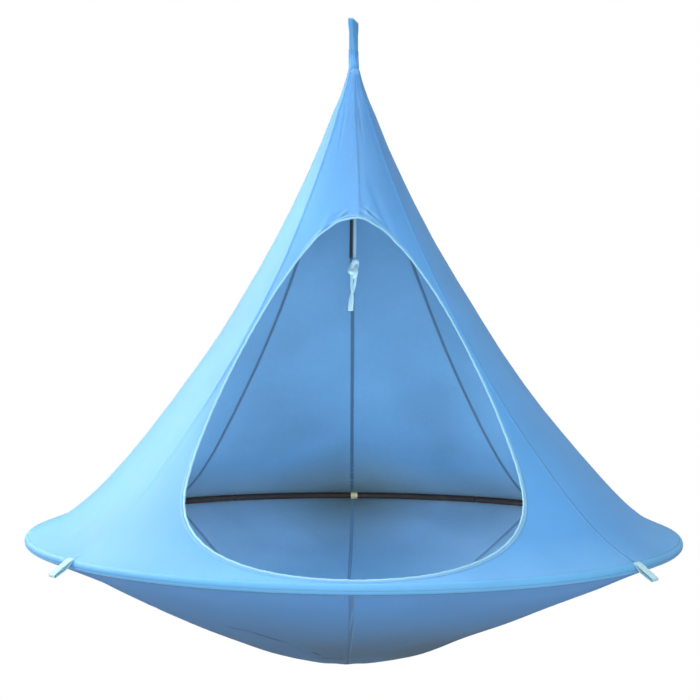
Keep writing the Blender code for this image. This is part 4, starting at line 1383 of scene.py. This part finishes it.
def add_ring():
    """Bent tubes, a little narrower at their rounded ends."""
    step = 2 * pi / TUBE_SECTIONS
    gap = CLEARANCE / 2 / RING_RADIUS
    for index, name in enumerate(SECTION_NAMES):
        angle = np.linspace(step * (index - 0.5) + gap, step * (index + 0.5) - gap, SECTION_POINTS)
        path = round_axis(RING_RADIUS, angle, RING_Z)
        out = round_axis(1.0, angle, 0.0)
        up = np.broadcast_to([0.0, 0.0, 1.0], path.shape)
        at = lengths_along(path)
        near = np.minimum(at, at[-1] - at)
        radius = TUBE_RADIUS - sum(depth * bell(near, 0, reach) for depth, reach in TUBE_ENDS)
        sections = circle(1.0, TUBE_SIDES)[None] * radius[:, None, None]
        points, faces, uvs = sweep(path, out, up, sections)
        piece = add_piece("ring_section_" + name, points, faces, uvs, ("ring",), "tent")
        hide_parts("ring_tube_" + name)


def add_ring_ties():
    """Tape that goes round the bare side of the tube."""
    turns = np.linspace(*TAPE_TURNS, TAPE_POINTS)
    for index, name in enumerate(TIE_NAMES):
        middle = GORE_ANGLE * index
        distance = TAPE_OFFSET + TAPE_WAVE * np.sin(TAPE_WAVE_TURN * turns + index)
        radial = RING_RADIUS + distance * np.cos(turns)
        path = round_axis(radial, np.full(len(turns), middle), RING_Z + distance * np.sin(turns))
        points, faces, uvs = sweep(path, (cos(middle), sin(middle), 0.0), None, TAPE_SECTION)
        piece = add_piece("ring_tape_" + name, points, faces, uvs, ("tape",), "tent")
        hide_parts("ring_tie_" + name)


# Stay loops

LOOP_FULL = 2 * LOOP_PLY + LOOP_SLOT
LOOP_CONTACT = pi / 2 - LOOP_DROOP
LOOP_DISTANCE = SHEET_OFFSET + FABRIC / 2 + CLEARANCE + LOOP_PLY
LOOP_DROP = 0.008
LOOP_DROP_LENGTH = 0.03
LOOP_POINTS = 70
LOOP_SECTION = rounded_box(LOOP_WIDTH, LOOP_PLY * 0.94, corner=0.0007)
# The folded webbing from the side, as (along, above its foot's middle): sewn flat, then open
LOOP_LOWER = ((0.001, 0.0001), (0.012, 0.0), (0.030, 0.0))
LOOP_UPPER = (
    (0.030, LOOP_FULL + 0.0010 - LOOP_PLY / 2),
    (0.014, LOOP_FULL - LOOP_PLY * 1.5),
    (0.005, 0.0012 + LOOP_PLY / 2),
    (0.001, 0.0010 + LOOP_PLY / 2),
)


def add_stay_loops():
    """Webbing folded back on itself, sewn flat at the rim and open towards its tip."""
    foot = -LOOP_PLY / 2
    tip = LOOP_FULL / 2
    bend = tip - LOOP_PLY / 2
    turn = np.linspace(-pi / 2, pi / 2, 13)
    fold = [(LOOP_LENGTH - tip + bend * cos(a), bend + bend * sin(a)) for a in turn]
    outline = [(along, 0, foot + above) for along, above in (*LOOP_LOWER, *fold, *LOOP_UPPER)]
    flat = smooth_line(outline, LOOP_POINTS)[:, ::2]
    drop = LOOP_DROP * smooth(0, LOOP_DROP_LENGTH, flat[:, :1])
    for side, angle in LOOP_ANGLES.items():
        out = np.array([sin(angle), -cos(angle), 0.0])
        along = cos(LOOP_DROOP) * out + np.array([0, 0, -sin(LOOP_DROOP)])
        above = sin(LOOP_DROOP) * out + np.array([0, 0, cos(LOOP_DROOP)])
        place = (RING_RADIUS + LOOP_DISTANCE * cos(LOOP_CONTACT)) * out
        place[2] = RING_Z + LOOP_DISTANCE * sin(LOOP_CONTACT)
        path = place + flat[:, :1] * along + (flat[:, 1:] - drop) * above
        points, faces, uvs = sweep(path, np.cross(along, above), None, LOOP_SECTION)
        piece = add_piece("guy_loop_" + side, points, faces, uvs, ("loop",), "stay_loop_" + side)
        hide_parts("stay_loop_" + side)


# Strap and neck

# The strap's crease: its place at the top and at the foot, how far its right part is turned back and
# drawn in, and the heights between which each comes in
STRAP_CREASE = (-0.002, 0.005)
STRAP_TURN = 1.6
STRAP_NARROWING = 0.14
CREASE_HEIGHTS = (-0.02, -0.14)
TURN_HEIGHTS = (NECK_Z + 0.008, NECK_Z + 0.050)
# The slope and the flare of the strap's top: how much, their place across, and their heights
STRAP_SLOPE = (0.38, 0.004)
SLOPE_HEIGHTS = (-0.060, -0.006)
STRAP_FLARE = (0.15, 0.001)
FLARE_HEIGHTS = (-0.045, -0.010)
# The strip's half width, half thickness and how much of it the edges have
STRAP_REACH = STRAP_WIDTH / 2 - 0.0004
STRAP_THICK = 0.00115
STRAP_EDGE = 0.3
STRAP_FOOT = NECK_Z + 0.014
STRAP_POINTS = 150
STRAP_COLUMNS = 17
# The way over the eye: its first turn and its points
EYE_START = 0.12
EYE_POINTS = 9
# Front of the strap from its foot to the eye, as (y, z)
STRAP_FRONT = (
    (-STRAP_PLY / 2, STRAP_FOOT),
    (-STRAP_PLY / 2, -0.120),
    (-STRAP_PLY / 2, -0.080),
    (-STRAP_PLY / 2 - 0.0006, -0.050),
    (-0.0045, -0.028),
)

# Neck: the ball's radius and the turn of its lowest row, and the sleeve's height and half widths. It
# spreads from the ball by so much for each metre of height, and is flat at a height.
BALL = 0.0139
BALL_START = 0.15
BALL_ROWS = 14
SLEEVE_TOP = 0.062
SLEEVE_WIDE = 0.0158
SLEEVE_DEEP = 0.0046
SLEEVE_SPREAD = 6
SLEEVE_FLAT_HEIGHT = 0.050
SLEEVE_START = 0.0004
SLEEVE_ROWS = 40
# Folds of the gathered cloth: how many, least depth and what is added at half height, and uneven places
NECK_FOLDS = 14
NECK_FOLD_DEPTHS = (0.0002, 0.0006)
NECK_FOLD_TURN = 1.5
NECK_COLUMNS = 128


def crease_strap(points):
    """The strap's right part is turned back along a crease, and its top slopes down to the right."""
    x, y, z = np.asarray(points, float).T.copy()
    crease = STRAP_CREASE[0] + (STRAP_CREASE[1] - STRAP_CREASE[0]) * smooth(*CREASE_HEIGHTS, z)
    past = np.maximum(x - crease, 0) * smooth(*TURN_HEIGHTS, z)
    slope = STRAP_SLOPE[0] * np.maximum(x + STRAP_SLOPE[1], 0) * smooth(*SLOPE_HEIGHTS, z)
    flare = (STRAP_FLARE[0] * x - STRAP_FLARE[1]) * smooth(*FLARE_HEIGHTS, z)
    return np.stack([x - STRAP_NARROWING * past + flare, y + STRAP_TURN * past, z - slope], axis=1)


def add_strap():
    """One strip of webbing that goes up, over the eye and down again."""
    bend = EYE_RADIUS + STRAP_PLY / 2
    turns = np.linspace(EYE_START, pi - EYE_START, EYE_POINTS)
    over = [(-bend * cos(turn), -EYE_RADIUS + bend * sin(turn)) for turn in turns]
    back = [(-y, z) for y, z in STRAP_FRONT[::-1]]
    flat = smooth_line([(0, y, z) for y, z in (*STRAP_FRONT, *over, *back)], STRAP_POINTS)
    thick = np.full(STRAP_COLUMNS, STRAP_THICK)
    thick[[0, -1]] *= STRAP_EDGE
    front = np.stack([np.linspace(-STRAP_REACH, STRAP_REACH, STRAP_COLUMNS), thick], axis=1)
    outline = np.vstack([front, front[::-1] * np.array([1, -1])])
    points, faces, uvs = sweep(flat, (1.0, 0.0, 0.0), None, outline)
    piece = add_piece("strap_webbing", lean(crease_strap(points)), faces, uvs, ("strap",), "strap")
    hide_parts("hanging_strap")


def neck_ring(height, angles):
    """The outline of the gathered cloth at a height above the neck."""
    if height <= 0:
        wide = deep = sqrt(BALL**2 - height**2)
    else:
        spread = BALL + SLEEVE_SPREAD * height
        wide = min(SLEEVE_WIDE, spread)
        flat = float(smooth(0.0, SLEEVE_FLAT_HEIGHT, height))
        deep = min(SLEEVE_WIDE + (SLEEVE_DEEP - SLEEVE_WIDE) * flat, spread)
    depth = NECK_FOLD_DEPTHS[0] + NECK_FOLD_DEPTHS[1] * sin(pi * min(max(height / SLEEVE_TOP, 0), 1))
    fold = depth * (1 + np.cos(NECK_FOLDS * angles + NECK_FOLD_TURN * np.sin(3 * angles)))
    x = (wide - fold) * np.sin(angles)
    y = -(deep - fold * deep / wide) * np.cos(angles)
    return crease_strap(np.stack([x, y, NECK_Z + height + 0 * x], axis=1))


def add_neck():
    """The canopy's gathered end: a ball of folds in the neck, and a sleeve that narrows onto the strap."""
    angles = 2 * pi * np.arange(NECK_COLUMNS + 1) / NECK_COLUMNS
    low = -BALL * np.cos(np.linspace(BALL_START, pi / 2, BALL_ROWS))
    heights = np.concatenate([low, [SLEEVE_START], np.linspace(0.0, SLEEVE_TOP, SLEEVE_ROWS)[1:]])
    points = lean(np.vstack([neck_ring(height, angles[:-1]) for height in heights]))
    faces, row, column = round_grid(len(heights), NECK_COLUMNS)
    uvs = np.stack([BALL * angles[column], heights[row] + 1], axis=-1).reshape(-1, 2)
    foot = np.arange(NECK_COLUMNS)[::-1]
    top = np.arange(len(points) - NECK_COLUMNS, len(points))
    uvs = np.vstack([uvs, np.tile([0, 1], (2 * NECK_COLUMNS, 1))])
    piece = add_piece("neck_gather", points, [*faces, foot, top], uvs, ("canopy",), None)
    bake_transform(piece)
    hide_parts("neck_bundle")


def paint_spigots():
    """The spigots inside the tubes show in no pose, and keep their solids."""
    for name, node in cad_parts.items():
        if name.startswith("ring_spigot"):
            node.data.materials.clear()
            node.data.materials.append(MATERIALS["steel"])


add_neck()
add_band()
add_floor()
add_floor_seams()
add_canopy()
add_canopy_seams()
add_piping()
add_ring()
add_ring_ties()
add_stay_loops()
add_strap()
paint_spigots()


# Floor, light and world

STAGE_Z = RING_Z - FLOOR_DEPTH - 0.9
STAGE_REACH = 40.0
STAGE_COLOUR = (0.93, 0.93, 0.93, 1.0)
STAGE_BOUNCE = (0.45, 0.45, 0.45, 1.0)
WHITE_RADII = (1.035, 2.3)
WORLD_COLOUR = (0.92, 0.96, 1.0, 1.0)
WORLD_LIGHT = 0.21
WHITE = (1.0, 1.0, 1.0, 1.0)

# Lamps outside: name, place, target, size and power
AREA_LIGHTS = (
    ("key", (-2.2, -2.6, 2.0), (0, 0, -1.1), 2.2, 32),
    ("left", (-4.0, -0.9, 0.2), (0, 0, -1.1), 2.0, 62),
    ("left_rim", (-3.4, 1.5, 0.9), (0, 0, -1.1), 2.6, 112),
    ("front_fill", (-0.3, -4.2, -1.9), (0, 0, -1.5), 1.8, 38),
    ("right_fill", (2.4, -3.2, -2.0), (0, 0, -1.5), 2.0, 33),
    ("top", (0.3, -0.5, 4.2), (0, -0.3, -1.5), 3.0, 162),
)
# Light that comes in through the thin cloth: place, radius and power
INNER_LIGHTS = (
    ((0.0, -0.16, -1.02), 0.16, 1.5),
    ((-0.34, 0.02, -1.57), 0.14, 4.5),
    ((0.38, 0.0, -1.57), 0.14, 5.5),
)


def stage_paint():
    """Pale floor that shows the object's shadow nearby and fades to white further off."""
    shader = Shader("studio_floor", Base_Color=STAGE_BOUNCE, Roughness=0.9)
    far = shader.vector("LENGTH", shader.place(), (0, 0, 0), "Value")
    reach = {"Value": far, "From Min": WHITE_RADII[0], "From Max": WHITE_RADII[1]}
    fade = shader.node("MapRange", reach, interpolation_type="SMOOTHSTEP")
    seen = shader.node("BsdfDiffuse", {"Color": STAGE_COLOUR}).outputs[0]
    glow = shader.node("Emission").outputs[0]
    shown = shader.node("MixShader", {0: fade.outputs["Result"], 1: seen, 2: glow})
    both = shader.camera_choice(shader.main, shown)
    shader.feed(shader.tree.nodes["Material Output"].inputs["Surface"], both)
    return shader.material


def add_stage():
    mesh = bpy.data.meshes.new("studio_floor")
    corners = [(x * STAGE_REACH, y * STAGE_REACH, 0) for x, y in ((-1, -1), (1, -1), (1, 1), (-1, 1))]
    mesh.from_pydata(corners, [], [(0, 1, 2, 3)])
    mesh.materials.append(stage_paint())
    plane = bpy.data.objects.new("studio_floor", mesh)
    bpy.context.scene.collection.objects.link(plane)
    plane.location = (0, 0, STAGE_Z)


def add_world():
    """Soft pale light all round, with white behind the object."""
    world = bpy.data.worlds.new("studio")
    bpy.context.scene.world = world
    nodes = Nodes(world)
    light = nodes.tree.nodes["Background"]
    nodes.feed(light.inputs["Color"], WORLD_COLOUR)
    nodes.feed(light.inputs["Strength"], WORLD_LIGHT)
    both = nodes.camera_choice(light, nodes.node("Background", {"Color": WHITE, "Strength": 1.0}))
    nodes.feed(nodes.tree.nodes["World Output"].inputs["Surface"], both)


def add_lamp(name, kind, place, power):
    data = bpy.data.lights.new(name, kind)
    data.energy = power
    lamp = bpy.data.objects.new(name, data)
    bpy.context.scene.collection.objects.link(lamp)
    lamp.location = place
    return lamp


def add_lights():
    for name, place, target, size, power in AREA_LIGHTS:
        lamp = add_lamp(name, "AREA", place, power)
        lamp.data.shape = "DISK"
        lamp.data.size = size
        lamp.rotation_euler = (Vector(target) - Vector(place)).to_track_quat("-Z", "Y").to_euler()
    for place, radius, power in INNER_LIGHTS:
        lamp = add_lamp("through_cloth", "POINT", place, power)
        lamp.data.shadow_soft_size = radius
        lamp.visible_camera = False
        lamp.visible_glossy = False


add_stage()
add_world()
add_lights()
bpy.context.scene.view_settings.view_transform = "Standard"

bpy.context.view_layer.update()
